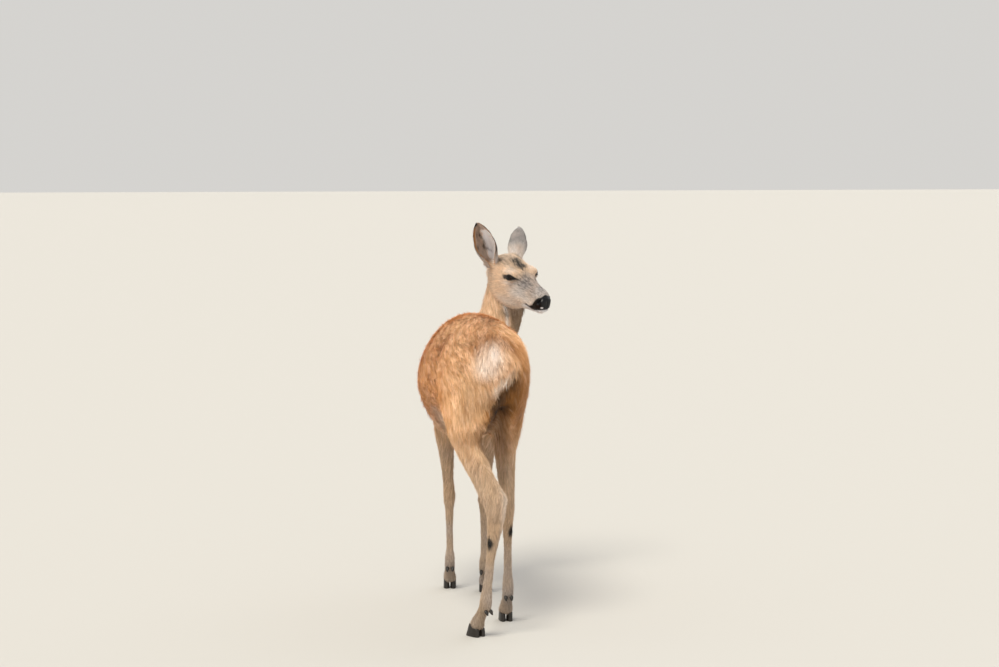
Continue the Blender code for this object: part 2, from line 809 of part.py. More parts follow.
def add_foot(end, which, leg, leg_object, parts, cutters):
    """Hooves and dewclaws, with the leg trimmed to stand just clear of them."""
    ahead = foot_ahead(leg)
    aside = Matrix.Rotation(math.pi / 2, 3, "Z") @ ahead
    coronet = pastern_end(leg)
    middle = Vector((coronet.x, coronet.y, 0)) + ahead * 0.004
    level = CORONET_HEEL + HOOF_LENGTH * 0.42 * hoof_slope() + CUT_GAP
    tilt = (ahead * hoof_slope() - UP).normalized()
    trim = beyond(f"trim_{end}_{which}", middle + UP * level, tilt, 0.08, 0.06, cutters)
    cut(leg_object, trim)
    for side, label in ((1, "left"), (-1, "right")):
        build_hoof(f"hoof_{end}_{which}_{label}", middle, ahead, side, parts)
        fetlock = body_point(*leg.fetlock)
        start = fetlock - ahead * 0.0120 + aside * (side * 0.0080) - UP * 0.012
        tip = start - ahead * 0.0085 - UP * 0.0120
        socket = spindle(f"socket_{end}_{which}_{label}", start, tip, 0.0058, ahead, cutters)
        cut(leg_object, helper(socket))
        spindle(
            f"dewclaw_{end}_{which}_{label}",
            start - UP * 0.0004,
            tip,
            0.0053,
            ahead,
            parts,
            material("black_horn", (0.02, 0.018, 0.016), 0.4),
        )


def part_head(body, parts, cutters):
    """Takes the neck and the head off the trunk, and gives the head its ears and eyes."""
    withers = body_point(0.47, 0, 0.59)
    lean = (forward_at(0.47) * 0.75 + UP * 0.65 - left_at(0.47) * 0.20).normalized()
    exact = beyond("above_trunk", withers, lean, 0.40, 0.26, cutters)
    grown = beyond("above_trunk_gap", withers - lean * CUT_GAP, lean, 0.40, 0.26, cutters)
    neck = taken_off(body, "neck", exact, grown, parts)
    nape = head_point(-0.034, 0, 0.010)
    forward = (AHEAD * 0.534 + CROWN * 0.847).normalized()
    exact = beyond("ahead_of_neck", nape, forward, 0.30, 0.10, cutters, LEFT, 0.26)
    grown = beyond("ahead_of_neck_gap", nape - forward * CUT_GAP, forward, 0.30, 0.10, cutters, LEFT, 0.26)
    head = taken_off(neck, "head", exact, grown, parts)
    for which, side in SIDE.items():
        ear = EARS[which]
        axis = direction(ear.axis)
        root = head_point(*ear.root) - axis * CUT_GAP
        cut(head, beyond(f"ear_cut_{which}", root, axis, 0.04, 0.024, cutters))
        build_ear(f"ear_{which}", ear, parts)
        centre = head_point(EYE_PLACE[0], side * EYE_PLACE[1], EYE_PLACE[2])
        cut(head, helper(eye_ball(f"orbit_{which}", centre, EYE_RADIUS + CUT_GAP, cutters)))
        eye = material("dark_brown_eye", (0.015, 0.009, 0.006), 0.1)
        eye_ball(f"eye_{which}", centre, EYE_RADIUS, parts, eye)


def part_legs(body, parts, cutters):
    """Takes each leg off the trunk and parts it below its hock or knee."""
    for end, legs, rows, joint in (("hind", HIND, HIND_REGION, "hock"), ("front", FORE, FORE_REGION, "knee")):
        for which, leg in legs.items():
            side = SIDE[which]
            exact = leg_region(f"leg_{end}_{which}", rows, side, 0.0, cutters)
            grown = leg_region(f"leg_gap_{end}_{which}", rows, side, CUT_GAP, cutters)
            upper = taken_off(body, f"leg_{end}_{which}_upper", exact, grown, parts)
            top, foot = body_point(*getattr(leg, joint)), body_point(*leg.fetlock)
            down = (foot - top).normalized()
            place = top + down * 0.020
            exact = beyond(f"cannon_{end}_{which}", place, down, 0.40, 0.09, cutters)
            grown = beyond(f"cannon_gap_{end}_{which}", place - down * CUT_GAP, down, 0.40, 0.09, cutters)
            lower = taken_off(upper, f"leg_{end}_{which}_lower", exact, grown, parts)
            add_foot(end, which, leg, lower, parts, cutters)


def add_tail(body, parts, cutters):
    """The stub of a tail, which lies on the rump."""
    back = -forward_at(0)
    start = body_point(-0.1110, 0, 0.624)
    tip = start + back * 0.0095 - UP * 0.038
    cut(body, helper(spindle("tail_bed", start, tip, 0.0126, back, cutters)))
    spindle("tail", start, tip, 0.0120, back, parts, material("buff_rump", (0.70, 0.50, 0.32), 0.9))


def stand_at_origin(parts):
    """Moves everything so that the middle of the bounding box, at floor level, is the origin."""
    points = [v.co for obj in parts.objects for v in obj.data.vertices]
    low = Vector([min(p[k] for p in points) for k in range(3)])
    high = Vector([max(p[k] for p in points) for k in range(3)])
    shift = Vector((-(low.x + high.x) / 2, -(low.y + high.y) / 2, -low.z))
    for obj in parts.objects:
        obj.data.transform(Matrix.Translation(shift))
    return shift


def main():
    clear_scene()
    parts = collection("roe_deer")
    cutters = collection("cutters", hidden=True)
    body = fused_body(parts)
    part_head(body, parts, cutters)
    part_legs(body, parts, cutters)
    add_tail(body, parts, cutters)
    return stand_at_origin(parts)


if __name__ == "__main__":
    main()
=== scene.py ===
"""A roe deer doe in her red summer coat, life size, standing still and looking back over her right side.

The solids give every place and the outline. This script dresses them: one skin from nose to hooves, a
coat of short hair that lies along the body, eyes with lids, ears, a moist black nose, and cloven hooves.
Metres, +Z up. She faces -Y, and her left side is +X.
"""

import logging  # noqa: E402
import math  # noqa: E402
from dataclasses import dataclass, field  # noqa: E402
from enum import Enum  # noqa: E402

import bmesh  # noqa: E402
import bpy  # noqa: E402
import numpy as np  # noqa: E402
from mathutils import Matrix, Vector, noise  # noqa: E402
from mathutils.bvhtree import BVHTree  # noqa: E402


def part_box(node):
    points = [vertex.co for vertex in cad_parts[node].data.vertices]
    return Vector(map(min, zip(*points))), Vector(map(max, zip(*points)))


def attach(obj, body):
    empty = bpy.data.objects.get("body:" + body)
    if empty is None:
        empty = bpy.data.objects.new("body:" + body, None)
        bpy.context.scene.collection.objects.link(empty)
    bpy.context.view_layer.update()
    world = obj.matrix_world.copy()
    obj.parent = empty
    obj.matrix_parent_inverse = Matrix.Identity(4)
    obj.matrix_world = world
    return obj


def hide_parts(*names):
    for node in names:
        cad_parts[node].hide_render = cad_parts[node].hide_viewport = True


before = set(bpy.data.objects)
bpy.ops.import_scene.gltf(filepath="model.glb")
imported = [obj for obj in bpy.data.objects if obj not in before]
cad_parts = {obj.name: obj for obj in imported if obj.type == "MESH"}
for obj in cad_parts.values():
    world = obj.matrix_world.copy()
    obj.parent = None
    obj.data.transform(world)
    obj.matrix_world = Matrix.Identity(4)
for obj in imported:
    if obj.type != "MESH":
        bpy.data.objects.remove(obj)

log = logging.getLogger("roe_deer")

ROOT = "root"
UP = np.array([0.0, 0.0, 1.0])
SEED = 7
SAME_PLACE = 1e-5  # corners nearer than this, in metres, are one corner


class Side(Enum):
    """Her two sides, or the two sides of a foot, each with its sign: her left is +X at the hips."""

    LEFT = 1.0
    RIGHT = -1.0

    @property
    def word(self) -> str:
        """The side's word in the names of solids and pieces."""
        return self.name.lower()


class End(Enum):
    """Her two ends, by their word in the names of solids and pieces."""

    FRONT = "front"
    HIND = "hind"


class Cover(Enum):
    """What the summer finish lies on, by its material's name."""

    SKIN = "roe_deer_skin"
    HAIR = "roe_deer_summer_hair"


# ---- small tools


def linear(hex_colour: str) -> tuple[float, float, float, float]:
    """The linear colour of an sRGB hex value.

    Args:
        hex_colour: Six hex digits, as in "c68a55".

    Returns:
        Red, green, blue and a full alpha.
    """
    parts = [int(hex_colour[k : k + 2], 16) / 255 for k in (0, 2, 4)]
    made = [p / 12.92 if p <= 0.04045 else ((p + 0.055) / 1.055) ** 2.4 for p in parts]
    return (*made, 1.0)


def add_node(
    tree: bpy.types.NodeTree, kind: str, inputs: dict | None = None, **settings: object
) -> bpy.types.Node:
    """Adds a node with its settings and links.

    Args:
        tree: The tree it goes in.
        kind: Blender's name of the node's type.
        inputs: Values, sockets or nodes by the input's name or number. A node stands for its output.
        **settings: The node's own properties.

    Returns:
        The node.
    """
    made = tree.nodes.new(kind)
    for name, value in settings.items():
        setattr(made, name, value)
    for name, value in (inputs or {}).items():
        if isinstance(name, int):
            socket = made.inputs[name]
        else:
            socket = next(s for s in made.inputs if s.name == name and s.enabled)
        if isinstance(value, bpy.types.Node):
            value = next(s for s in value.outputs if s.enabled)
        if isinstance(value, bpy.types.NodeSocket):
            tree.links.new(value, socket)
        else:
            socket.default_value = value
    return made


def new_material(
    name: str, values: dict
) -> tuple[bpy.types.Material, bpy.types.NodeTree, bpy.types.Node]:
    """A material whose shader has these plain values.

    Args:
        name: The material's name.
        values: The shader's values, by socket.

    Returns:
        The material, its tree and its shader.
    """
    made = bpy.data.materials.new(name)
    made.use_nodes = True
    shader = made.node_tree.nodes["Principled BSDF"]
    for socket, value in values.items():
        shader.inputs[socket].default_value = value
    return made, made.node_tree, shader


def per_metre(size_mm: float) -> float:
    """The scale of a pattern whose cells have a real size in millimetres."""
    return 1000 / size_mm


def step(low: float, high: float, x: np.ndarray) -> np.ndarray:
    """A smooth step from 0 at low to 1 at high, which may be the smaller."""
    t = np.clip((x - low) / (high - low), 0, 1)
    return t * t * (3 - 2 * t)


def bump(x: np.ndarray, centre: float, reach: float) -> np.ndarray:
    """A bell of height 1 round a centre."""
    return np.exp(-(((x - centre) / reach) ** 2))


def unit(vectors: np.ndarray) -> np.ndarray:
    """The vectors at length 1."""
    return vectors / np.maximum(np.linalg.norm(vectors, axis=-1, keepdims=True), 1e-9)


def dot(a: np.ndarray, b: np.ndarray) -> np.ndarray:
    """Row by row dot product."""
    return np.sum(a * b, axis=-1)


def blotches(points: np.ndarray, size_mm: float) -> np.ndarray:
    """Soft noise from -1 to 1 at each point, in blotches of a real size in millimetres."""
    return np.array([noise.noise(Vector(p * per_metre(size_mm))) for p in points])


def areas(corners: np.ndarray) -> np.ndarray:
    """The areas of triangles, from their corners."""
    return np.linalg.norm(np.cross(corners[:, 1] - corners[:, 0], corners[:, 2] - corners[:, 0]), axis=1) / 2


def new_object(name: str, mesh: bpy.types.Mesh) -> bpy.types.Object:
    """An object at the origin that holds a mesh.

    Args:
        name: The object's name.
        mesh: What it holds.

    Returns:
        The object.
    """
    made = bpy.data.objects.new(name, mesh)
    bpy.context.scene.collection.objects.link(made)
    return made


def mesh_of(
    name: str, points: np.ndarray, faces: list | np.ndarray, smooth: bool = True
) -> bpy.types.Mesh:
    """A mesh from points and faces.

    Args:
        name: The mesh's name.
        points: The vertices' places.
        faces: The numbers of each face's vertices.
        smooth: Whether it is shaded smooth.

    Returns:
        The mesh.
    """
    made = bpy.data.meshes.new(name)
    made.from_pydata([tuple(p) for p in np.asarray(points)], [], [tuple(f) for f in faces])
    made.update()
    if smooth:
        made.shade_smooth()
    return made


def settle(obj: bpy.types.Object) -> bpy.types.Object:
    """Turns an object's evaluated shape into its plain mesh, and clears its modifiers.

    Args:
        obj: The object.

    Returns:
        The same object.
    """
    bpy.context.view_layer.update()
    graph = bpy.context.evaluated_depsgraph_get()
    old, mesh = obj.data, bpy.data.meshes.new_from_object(obj.evaluated_get(graph))
    obj.modifiers.clear()
    obj.data = mesh
    bpy.data.meshes.remove(old)
    return obj


def merged_solid(name: str) -> bmesh.types.BMesh:
    """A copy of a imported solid, its loose triangles merged into one shell.

    Args:
        name: The solid's name.

    Returns:
        The copy, which the caller frees.
    """
    bm = bmesh.new()
    bm.from_mesh(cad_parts[name].data)
    bmesh.ops.remove_doubles(bm, verts=bm.verts, dist=SAME_PLACE)
    return bm


def face_outwards(mesh: bpy.types.Mesh, merge: float = 0.0) -> None:
    """Turns the faces of a closed mesh outwards.

    Args:
        mesh: The mesh.
        merge: The distance within which doubles are merged first, if any.
    """
    bm = bmesh.new()
    bm.from_mesh(mesh)
    if merge:
        bmesh.ops.remove_doubles(bm, verts=bm.verts, dist=merge)
    bmesh.ops.recalc_face_normals(bm, faces=bm.faces)
    bm.to_mesh(mesh)
    bm.free()


def read_rows(items: bpy.types.bpy_prop_collection, key: str, columns: int, kind: type) -> np.ndarray:
    """Reads one property of every item of a mesh.

    Args:
        items: The mesh's vertices, edges or the like.
        key: The property's name.
        columns: How many numbers each item has.
        kind: The numbers' type.

    Returns:
        One row for each item.
    """
    made = np.empty(len(items) * columns, kind)
    items.foreach_get(key, made)
    return made.reshape(-1, columns)


def read_points(mesh: bpy.types.Mesh) -> np.ndarray:
    """The places of a mesh's vertices."""
    return read_rows(mesh.vertices, "co", 3, float)


def read_normals(mesh: bpy.types.Mesh) -> np.ndarray:
    """The normals of a mesh's vertices."""
    return read_rows(mesh.vertex_normals, "vector", 3, np.float32).astype(float)


def read_triangles(mesh: bpy.types.Mesh) -> np.ndarray:
    """A mesh's faces as triangles."""
    mesh.calc_loop_triangles()
    return read_rows(mesh.loop_triangles, "vertices", 3, np.int32)


def read_edges(mesh: bpy.types.Mesh) -> np.ndarray:
    """A mesh's edges as pairs of vertices."""
    return read_rows(mesh.edges, "vertices", 2, np.int32)


def write_points(mesh: bpy.types.Mesh, points: np.ndarray) -> None:
    """Moves a mesh's vertices."""
    mesh.vertices.foreach_set("co", points.astype(np.float32).ravel())
    mesh.update()


def write_attribute(mesh: bpy.types.Mesh, name: str, values: np.ndarray) -> None:
    """Keeps one number or one vector for each vertex.

    Args:
        mesh: The mesh that keeps them.
        name: The attribute's name.
        values: One number or one row of three for each vertex.
    """
    vector = values.ndim == 2
    made = mesh.attributes.new(name, "FLOAT_VECTOR" if vector else "FLOAT", "POINT")
    made.data.foreach_set("vector" if vector else "value", values.astype(np.float32).ravel())


def relaxed(
    values: np.ndarray, edges: np.ndarray, rounds: int, share: np.ndarray | float = 0.5
) -> np.ndarray:
    """Moves each vertex's values towards the mean of its neighbours', some rounds over.

    Args:
        values: One row of numbers for each vertex.
        edges: Pairs of vertices.
        rounds: How often it is done.
        share: How far each one moves, as one number or one for each vertex.

    Returns:
        The smoothed values.
    """
    flat = values.reshape(len(values), -1).astype(float)
    first, second = edges[:, 0], edges[:, 1]
    count = np.bincount(edges.ravel(), minlength=len(flat)).astype(float)
    weight = np.broadcast_to(np.asarray(share, float), (len(flat),))
    for _ in range(rounds):
        for column in range(flat.shape[1]):
            x = flat[:, column]
            total = np.bincount(first, x[second], len(x)) + np.bincount(second, x[first], len(x))
            flat[:, column] = x + weight * (total / np.maximum(count, 1) - x)
    return flat.reshape(values.shape)


def polished(points: np.ndarray, edges: np.ndarray, rounds: int) -> np.ndarray:
    """Smooths a surface without thinning it: each round in is followed by one back out.

    Args:
        points: The vertices' places.
        edges: Pairs of vertices.
        rounds: How often it is done.

    Returns:
        The smoothed places.
    """
    inwards, outwards = 0.5, -0.52
    for _ in range(rounds):
        points = relaxed(relaxed(points, edges, 1, inwards), edges, 1, outwards)
    return points


# ---- where things lie


@dataclass
class Anatomy:
    """The directions of the head and the bent spine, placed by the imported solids."""

    head_turn: float = math.radians(146)  # from straight ahead to her right
    head_pitch: float = math.radians(18)
    pelvis_yaw: float = math.radians(8)
    chest_yaw: float = math.radians(-10)
    bend_from: float = 0.05  # the spine bends between these, forward of the hips
    bend_to: float = 0.42
    skull_from_hips: tuple = (-0.083, -0.534, 0.770)
    eye_ahead: float = 0.0985  # from the back of the skull
    eye_rise: float = 0.0225
    spine_from: float = -0.35
    spine_to: float = 0.75
    eyes: dict = field(default_factory=dict)

    def __post_init__(self) -> None:
        """Reads the eyes' places, and works the rest out from them."""
        for side in Side:
            low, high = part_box(f"eye_{side.word}")
            self.eyes[side] = np.array((low + high) / 2)
        across = Vector(self.eyes[Side.LEFT] - self.eyes[Side.RIGHT]).normalized()
        turn = Matrix.Rotation(-self.head_turn, 3, "Z")
        nod = Matrix.Rotation(self.head_pitch, 3, turn @ Vector((1, 0, 0)))
        ahead = nod @ (turn @ Vector((0, -1, 0)))
        crown = ahead.cross(across)
        crown = crown if crown.z > 0 else -crown
        self.axes = np.array([ahead, across, crown])
        middle = (self.eyes[Side.LEFT] + self.eyes[Side.RIGHT]) / 2
        self.skull = middle - self.axes[0] * self.eye_ahead - self.axes[2] * self.eye_rise
        self.hips = self.skull - np.array(self.skull_from_hips)
        self.stations = np.linspace(self.spine_from, self.spine_to, 111)
        steps = self.stations[1] - self.stations[0]
        walk = np.cumsum(self.forward(self.stations) * steps, axis=0)
        zero = np.array([np.interp(0.0, self.stations, walk[:, k]) for k in range(3)])
        self.spine = self.hips + walk - zero

    def yaw(self, along: np.ndarray) -> np.ndarray:
        """The spine's direction, as an angle from -Y to her left."""
        bent = step(self.bend_from, self.bend_to, along)
        return self.pelvis_yaw + (self.chest_yaw - self.pelvis_yaw) * bent

    def forward(self, along: np.ndarray) -> np.ndarray:
        """The direction forward along the spine."""
        yaw = self.yaw(along)
        return np.stack([np.sin(yaw), -np.cos(yaw), np.zeros_like(yaw)], axis=-1)

    def leftward(self, along: np.ndarray) -> np.ndarray:
        """The direction to her left of the spine."""
        yaw = self.yaw(along)
        return np.stack([np.cos(yaw), np.sin(yaw), np.zeros_like(yaw)], axis=-1)

    def on_spine(self, along: np.ndarray) -> np.ndarray:
        """The spine's points at floor level."""
        return np.stack([np.interp(along, self.stations, self.spine[:, k]) for k in range(3)], axis=-1)

    def body(self, points: np.ndarray) -> tuple[np.ndarray, np.ndarray, np.ndarray]:
        """Places points along the bent body.

        Args:
            points: The points.

        Returns:
            Each one's distance forward of the hips, left of the spine, and above the floor.
        """
        along = (points - self.hips) @ np.array([0.0, -1.0, 0.0])
        for _ in range(6):
            along = along + dot(points - self.on_spine(along), self.forward(along))
        return along, dot(points - self.on_spine(along), self.leftward(along)), points[:, 2]

    def head(self, points: np.ndarray) -> tuple[np.ndarray, np.ndarray, np.ndarray]:
        """Each point's distance ahead, left and crownward of the back of the skull."""
        local = (points - self.skull) @ self.axes.T
        return local[:, 0], local[:, 1], local[:, 2]

    def head_point(self, ahead: float, left: float, crown: float) -> np.ndarray:
        """A place on the head."""
        return self.skull + np.array([ahead, left, crown]) @ self.axes


# ---- finishes


@dataclass(frozen=True)
class HairFinish:
    """Summer hair of a roe deer: thin, stiff and slightly waxy, so it is satin and never wet.

    The colours are masks on the skin, so that skin and hair carry the same markings, and the same painted
    shade and light.
    """

    tan: str = "d9ab76"
    rust: str = "c57f2a"
    fawn: str = "b59b7d"
    grey: str = "a89d99"
    pale: str = "f4e8dc"
    white: str = "f1f1f4"
    dark: str = "130f0d"
    under: float = 0.70  # the skin's brightness beside the hair's: painted shade, so that partings read as depth
    strands: tuple = (0.84, 1.20)  # the range of brightness from hair to hair
    locks: tuple = (0.82, 1.22)  # from lock to lock, with the painted highlight and shade across and along each lock
    length: tuple = (0.78, 1.22)  # from root to tip
    roughness: float = 0.62
    specular: float = 0.35
    sheen: float = 0.12
    sheen_spread: float = 0.5
    stubble_mm: float = 10 / 7  # pores and short stubble, one to two millimetres apart
    stubble_rise: float = 0.0005

    def _colour(self, tree: bpy.types.NodeTree, cover: Cover) -> bpy.types.Node:
        """The chain that mixes the markings.

        Args:
            tree: The material's tree.
            cover: Hair, whose roots are darker than its tips, or the skin under it.

        Returns:
            The last node of the chain.
        """
        mixed: object = linear(self.tan)
        for mark in ("rust", "fawn", "grey", "pale", "white", "dark"):
            mask = add_node(tree, "ShaderNodeAttribute", attribute_name=mark)
            mixed = add_node(
                tree,
                "ShaderNodeMix",
                {"Factor": mask.outputs["Fac"], "A": mixed, "B": linear(getattr(self, mark))},
                data_type="RGBA",
            )
        if cover is Cover.SKIN:
            return add_node(tree, "ShaderNodeHueSaturation", {"Value": self.under, "Color": mixed})
        value: object = 1.0
        for name, lowest, (dim, bright) in (
            ("strand", 0.0, self.strands),
            ("tone", -1.0, self.locks),
            ("reach", 0.0, self.length),
        ):
            own = add_node(tree, "ShaderNodeAttribute", attribute_name=name).outputs["Fac"]
            ranged = {"Value": own, "From Min": lowest, "To Min": dim, "To Max": bright}
            share = add_node(tree, "ShaderNodeMapRange", ranged)
            value = add_node(tree, "ShaderNodeMath", {0: value, 1: share}, operation="MULTIPLY")
        return add_node(tree, "ShaderNodeHueSaturation", {"Value": value, "Color": mixed})

    def material(self, cover: Cover) -> bpy.types.Material:
        """The finish as a material.

        Args:
            cover: What it lies on.

        Returns:
            The material.
        """
        values = {
            "Roughness": self.roughness,
            "Specular IOR Level": self.specular,
            "Sheen Weight": self.sheen,
            "Sheen Roughness": self.sheen_spread,
        }
        made, tree, shader = new_material(cover.value, values)
        tree.links.new(self._colour(tree, cover).outputs["Color"], shader.inputs["Base Color"])
        if cover is Cover.SKIN:
            place = add_node(tree, "ShaderNodeTexCoord").outputs["Object"]
            grain = {"Vector": place, "Scale": per_metre(self.stubble_mm), "Detail": 3.0}
            pores = add_node(tree, "ShaderNodeTexNoise", grain)
            relief = {"Height": pores.outputs["Fac"], "Strength": 0.3, "Distance": self.stubble_rise}
            raised = add_node(tree, "ShaderNodeBump", relief)
            tree.links.new(raised.outputs["Normal"], shader.inputs["Normal"])
        return made


@dataclass(frozen=True)
class BareFinish:
    """A hairless finish of two near colours with a fine grain of bumps: moist skin or horn."""

    name: str
    colour: str
    other: str
    roughness: float
    specular: float
    grain_mm: float  # the distance between the bumps
    rise: float  # the bumps' height, in metres
    coat: float = 0.0
    coat_roughness: float = 0.08
    cloud_grains: float = 4.0  # how many bumps wide a cloud of the second colour is

    def material(self) -> bpy.types.Material:
        """The finish as a material.

        Returns:
            The material.
        """
        values = {
            "Roughness": self.roughness,
            "Specular IOR Level": self.specular,
            "Coat Weight": self.coat,
            "Coat Roughness": self.coat_roughness,
        }
        made, tree, shader = new_material(self.name, values)
        place = add_node(tree, "ShaderNodeTexCoord").outputs["Object"]
        grain, clouds = per_metre(self.grain_mm), per_metre(self.grain_mm * self.cloud_grains)
        cells = add_node(tree, "ShaderNodeTexVoronoi", {"Vector": place, "Scale": grain})
        cloud = add_node(tree, "ShaderNodeTexNoise", {"Vector": place, "Scale": clouds, "Detail": 3.0})
        shade = add_node(
            tree,
            "ShaderNodeMix",
            {"Factor": cloud.outputs["Fac"], "A": linear(self.colour), "B": linear(self.other)},
            data_type="RGBA",
        )
        tree.links.new(next(s for s in shade.outputs if s.enabled), shader.inputs["Base Color"])
        raised = add_node(
            tree,
            "ShaderNodeBump",
            {"Height": cells.outputs["Distance"], "Strength": 0.6, "Distance": self.rise},
        )
        tree.links.new(raised.outputs["Normal"], shader.inputs["Normal"])
        return made


# ---- the skin


class Flesh(Enum):
    """The solids of flesh, grouped by how their hair lies."""

    HEAD = ("head",)
    NECK = ("neck",)
    TRUNK = ("trunk", "tail")
    HAUNCH_LEFT = ("leg_hind_left_upper",)
    HAUNCH_RIGHT = ("leg_hind_right_upper",)
    SHOULDER_LEFT = ("leg_front_left_upper",)
    SHOULDER_RIGHT = ("leg_front_right_upper",)
    HIND_CANNONS = ("leg_hind_left_lower", "leg_hind_right_lower")
    FORE_CANNONS = ("leg_front_left_lower", "leg_front_right_lower")


GROUPS = list(Flesh)
FLESH_NODES = [name for group in GROUPS for name in group.value]


@dataclass
class Hide:
    """The skin, all in one piece under the coat."""

    anatomy: Anatomy
    voxel: float = 0.0042
    seal: float = 0.0005  # closes the thin gaps between the solids
    lid: float = 0.0009  # how far the lids stand off the eyeball
    socket: float = 0.0022  # how far the skin lies inside the eyeball where the eye is open
    eye_radius: float = 0.0126
    eye_long: float = math.radians(69)
    eye_up: float = math.radians(30)
    eye_down: float = math.radians(20)
    eye_slant: float = 0.10
    pinch: float = 0.12  # how much the opening narrows to its corners
    hair_long: float = 0.023  # the coat's length on the trunk
    hair_short: float = 0.0125  # on the legs
    hair_lift: float = math.radians(9.0)  # how steeply it stands off the skin
    crease: float = 0.0040
    cleft_depth: float = 0.0065
    nostril_depth: float = 0.0085
    gland_height: float = 0.217
    gland_size: tuple = (0.012, 0.014, 0.017)

    def build(self) -> bpy.types.Object:
        """Fuses, smooths, insets and sculpts the skin, and works out its coat.

        Returns:
            The skin's object, with the coat's masks as attributes.
        """
        self.object = self._fused()
        self._refine()
        mesh = self.object.data
        self.edges = read_edges(mesh)
        points = read_points(mesh)
        self._group(points)
        broad = self.share(Flesh.TRUNK, Flesh.HAUNCH_LEFT, Flesh.HAUNCH_RIGHT, Flesh.SHOULDER_LEFT)
        broad = np.clip(broad + self.share(Flesh.SHOULDER_RIGHT, Flesh.NECK), 0, 1)
        broad = broad * step(0.30, 0.42, points[:, 2])
        points = polished(points, self.edges, 7)
        points = relaxed(points, self.edges, 45, 0.5 * broad)
        write_points(mesh, points)
        self.points, self.normals = points, read_normals(mesh)
        self._measure()
        self.points = self.points - self.normals * relaxed(self.depth, self.edges, 4)[:, None]
        self.points = polished(self.points, self.edges, 3)
        self._sculpt()
        write_points(mesh, self.points)
        self.normals = read_normals(mesh)
        self._lay()
        face, body = self._face_marks(), self._body_marks()
        self.masks = {name: np.clip(face[name] + body[name], 0, 1) for name in body}
        for name, values in self.masks.items():
            write_attribute(mesh, name, values)
        mesh.materials.append(HairFinish().material(Cover.SKIN))
        # Bare, moist leather: near black with a cool sheen, and a fine grain of bumps.
        nose = BareFinish(
            name="moist_nose_leather",
            colour="050609",
            other="0b0c10",
            roughness=0.33,
            specular=0.24,
            grain_mm=1.1,
            rise=0.00016,
            coat=0.14,
        )
        mesh.materials.append(nose.material())
        for polygon in mesh.polygons:
            polygon.material_index = int(self.leather[list(polygon.vertices)].all())
        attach(self.object, ROOT)
        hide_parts(*FLESH_NODES)
        return self.object

    def _fused(self) -> bpy.types.Object:
        """The solids of flesh as one closed mesh.

        Returns:
            The skin's object.
        """
        points, faces, self.owner = [], [], []
        start = 0
        for index, group in enumerate(GROUPS):
            # The skin passes over the eyeballs too, and is then opened between the lids.
            for name in group.value + (("eye_left", "eye_right") if group is Flesh.HEAD else ()):
                bm = merged_solid(name)
                bm.normal_update()
                points += [v.co + v.normal * self.seal for v in bm.verts]
                bm.verts.index_update()
                faces += [[v.index + start for v in f.verts] for f in bm.faces]
                self.owner += [index] * len(bm.faces)
                start = len(points)
                bm.free()
        self.tree = BVHTree.FromPolygons(points, faces)
        made = new_object("skin", mesh_of("skin", np.array([tuple(p) for p in points]), faces))
        remesh = made.modifiers.new("Fuse", "REMESH")
        remesh.mode = "VOXEL"
        remesh.voxel_size = self.voxel
        remesh.use_smooth_shade = True
        return settle(made)

    def _refine(self) -> None:
        """Splits the faces of the head, and again round the eyes and the mouth."""
        bm = bmesh.new()
        bm.from_mesh(self.object.data)
        body = self.anatomy
        fine = [(body.head_point(0.10, 0, 0), 0.130)]
        finer = [(place, 0.023) for place in body.eyes.values()]
        finer.append((body.head_point(0.190, 0, -0.016), 0.030))
        for balls in (fine, finer):
            centres = [(Vector(c), r) for c, r in balls]
            near = [f for f in bm.faces if any((f.calc_center_median() - c).length < r for c, r in centres)]
            edges = list({e for f in near for e in f.edges})
            bmesh.ops.subdivide_edges(bm, edges=edges, cuts=1, use_grid_fill=True)
        bmesh.ops.triangulate(bm, faces=[f for f in bm.faces if len(f.verts) > 4])
        bm.to_mesh(self.object.data)
        bm.free()
        self.object.data.shade_smooth()

    def _group(self, points: np.ndarray) -> None:
        """Finds which solid each vertex came from, and blends that over a few centimetres.

        Args:
            points: The vertices' places.
        """
        nearest = [self.tree.find_nearest(Vector(p))[2] for p in points]
        self.label = np.array(self.owner)[nearest]
        weights = np.eye(len(GROUPS))[self.label]
        self.weights = relaxed(weights, self.edges, 24)

    def share(self, *groups: Flesh) -> np.ndarray:
        """How much each vertex belongs to these groups."""
        return sum(self.weights[:, GROUPS.index(g)] for g in groups)

    def _measure(self) -> None:
        """The hair's length, and how deep under the coat's surface the skin lies."""
        along, left, height = self.anatomy.body(self.points)
        ahead = self.anatomy.head(self.points)[0]
        head, neck = self.share(Flesh.HEAD), self.share(Flesh.NECK)
        legs = step(0.44, 0.33, height) * (1 - head)
        length = self.hair_long + 0.004 * step(0.44, 0.40, height) * (1 - legs)
        rump = self.rump(along, left, height)
        edge = bump(self.cleft(left, height), 0.010, 0.014) * step(-0.05, -0.08, along)
        edge = edge * step(0.48, 0.52, height) * step(0.615, 0.590, height)
        length = length + 0.011 * rump + 0.009 * edge
        length = length * (1 - legs) + legs * (self.hair_short - 0.004 * step(0.26, 0.12, height))
        length = length * (1 - 0.10 * neck)
        face = 0.0105 - 0.0055 * step(0.05, 0.15, ahead) + 0.003 * step(0.03, 0.0, ahead)
        length = length * (1 - head) + face * head
        self.length = length
        lift = self.hair_lift * (1 + 0.10 * legs) * (1 + 0.25 * head)
        self.lift = lift * (1 + 0.45 * rump + 0.55 * edge)
        self.depth = 0.95 * length * np.sin(self.lift) * self._away_from_horn()

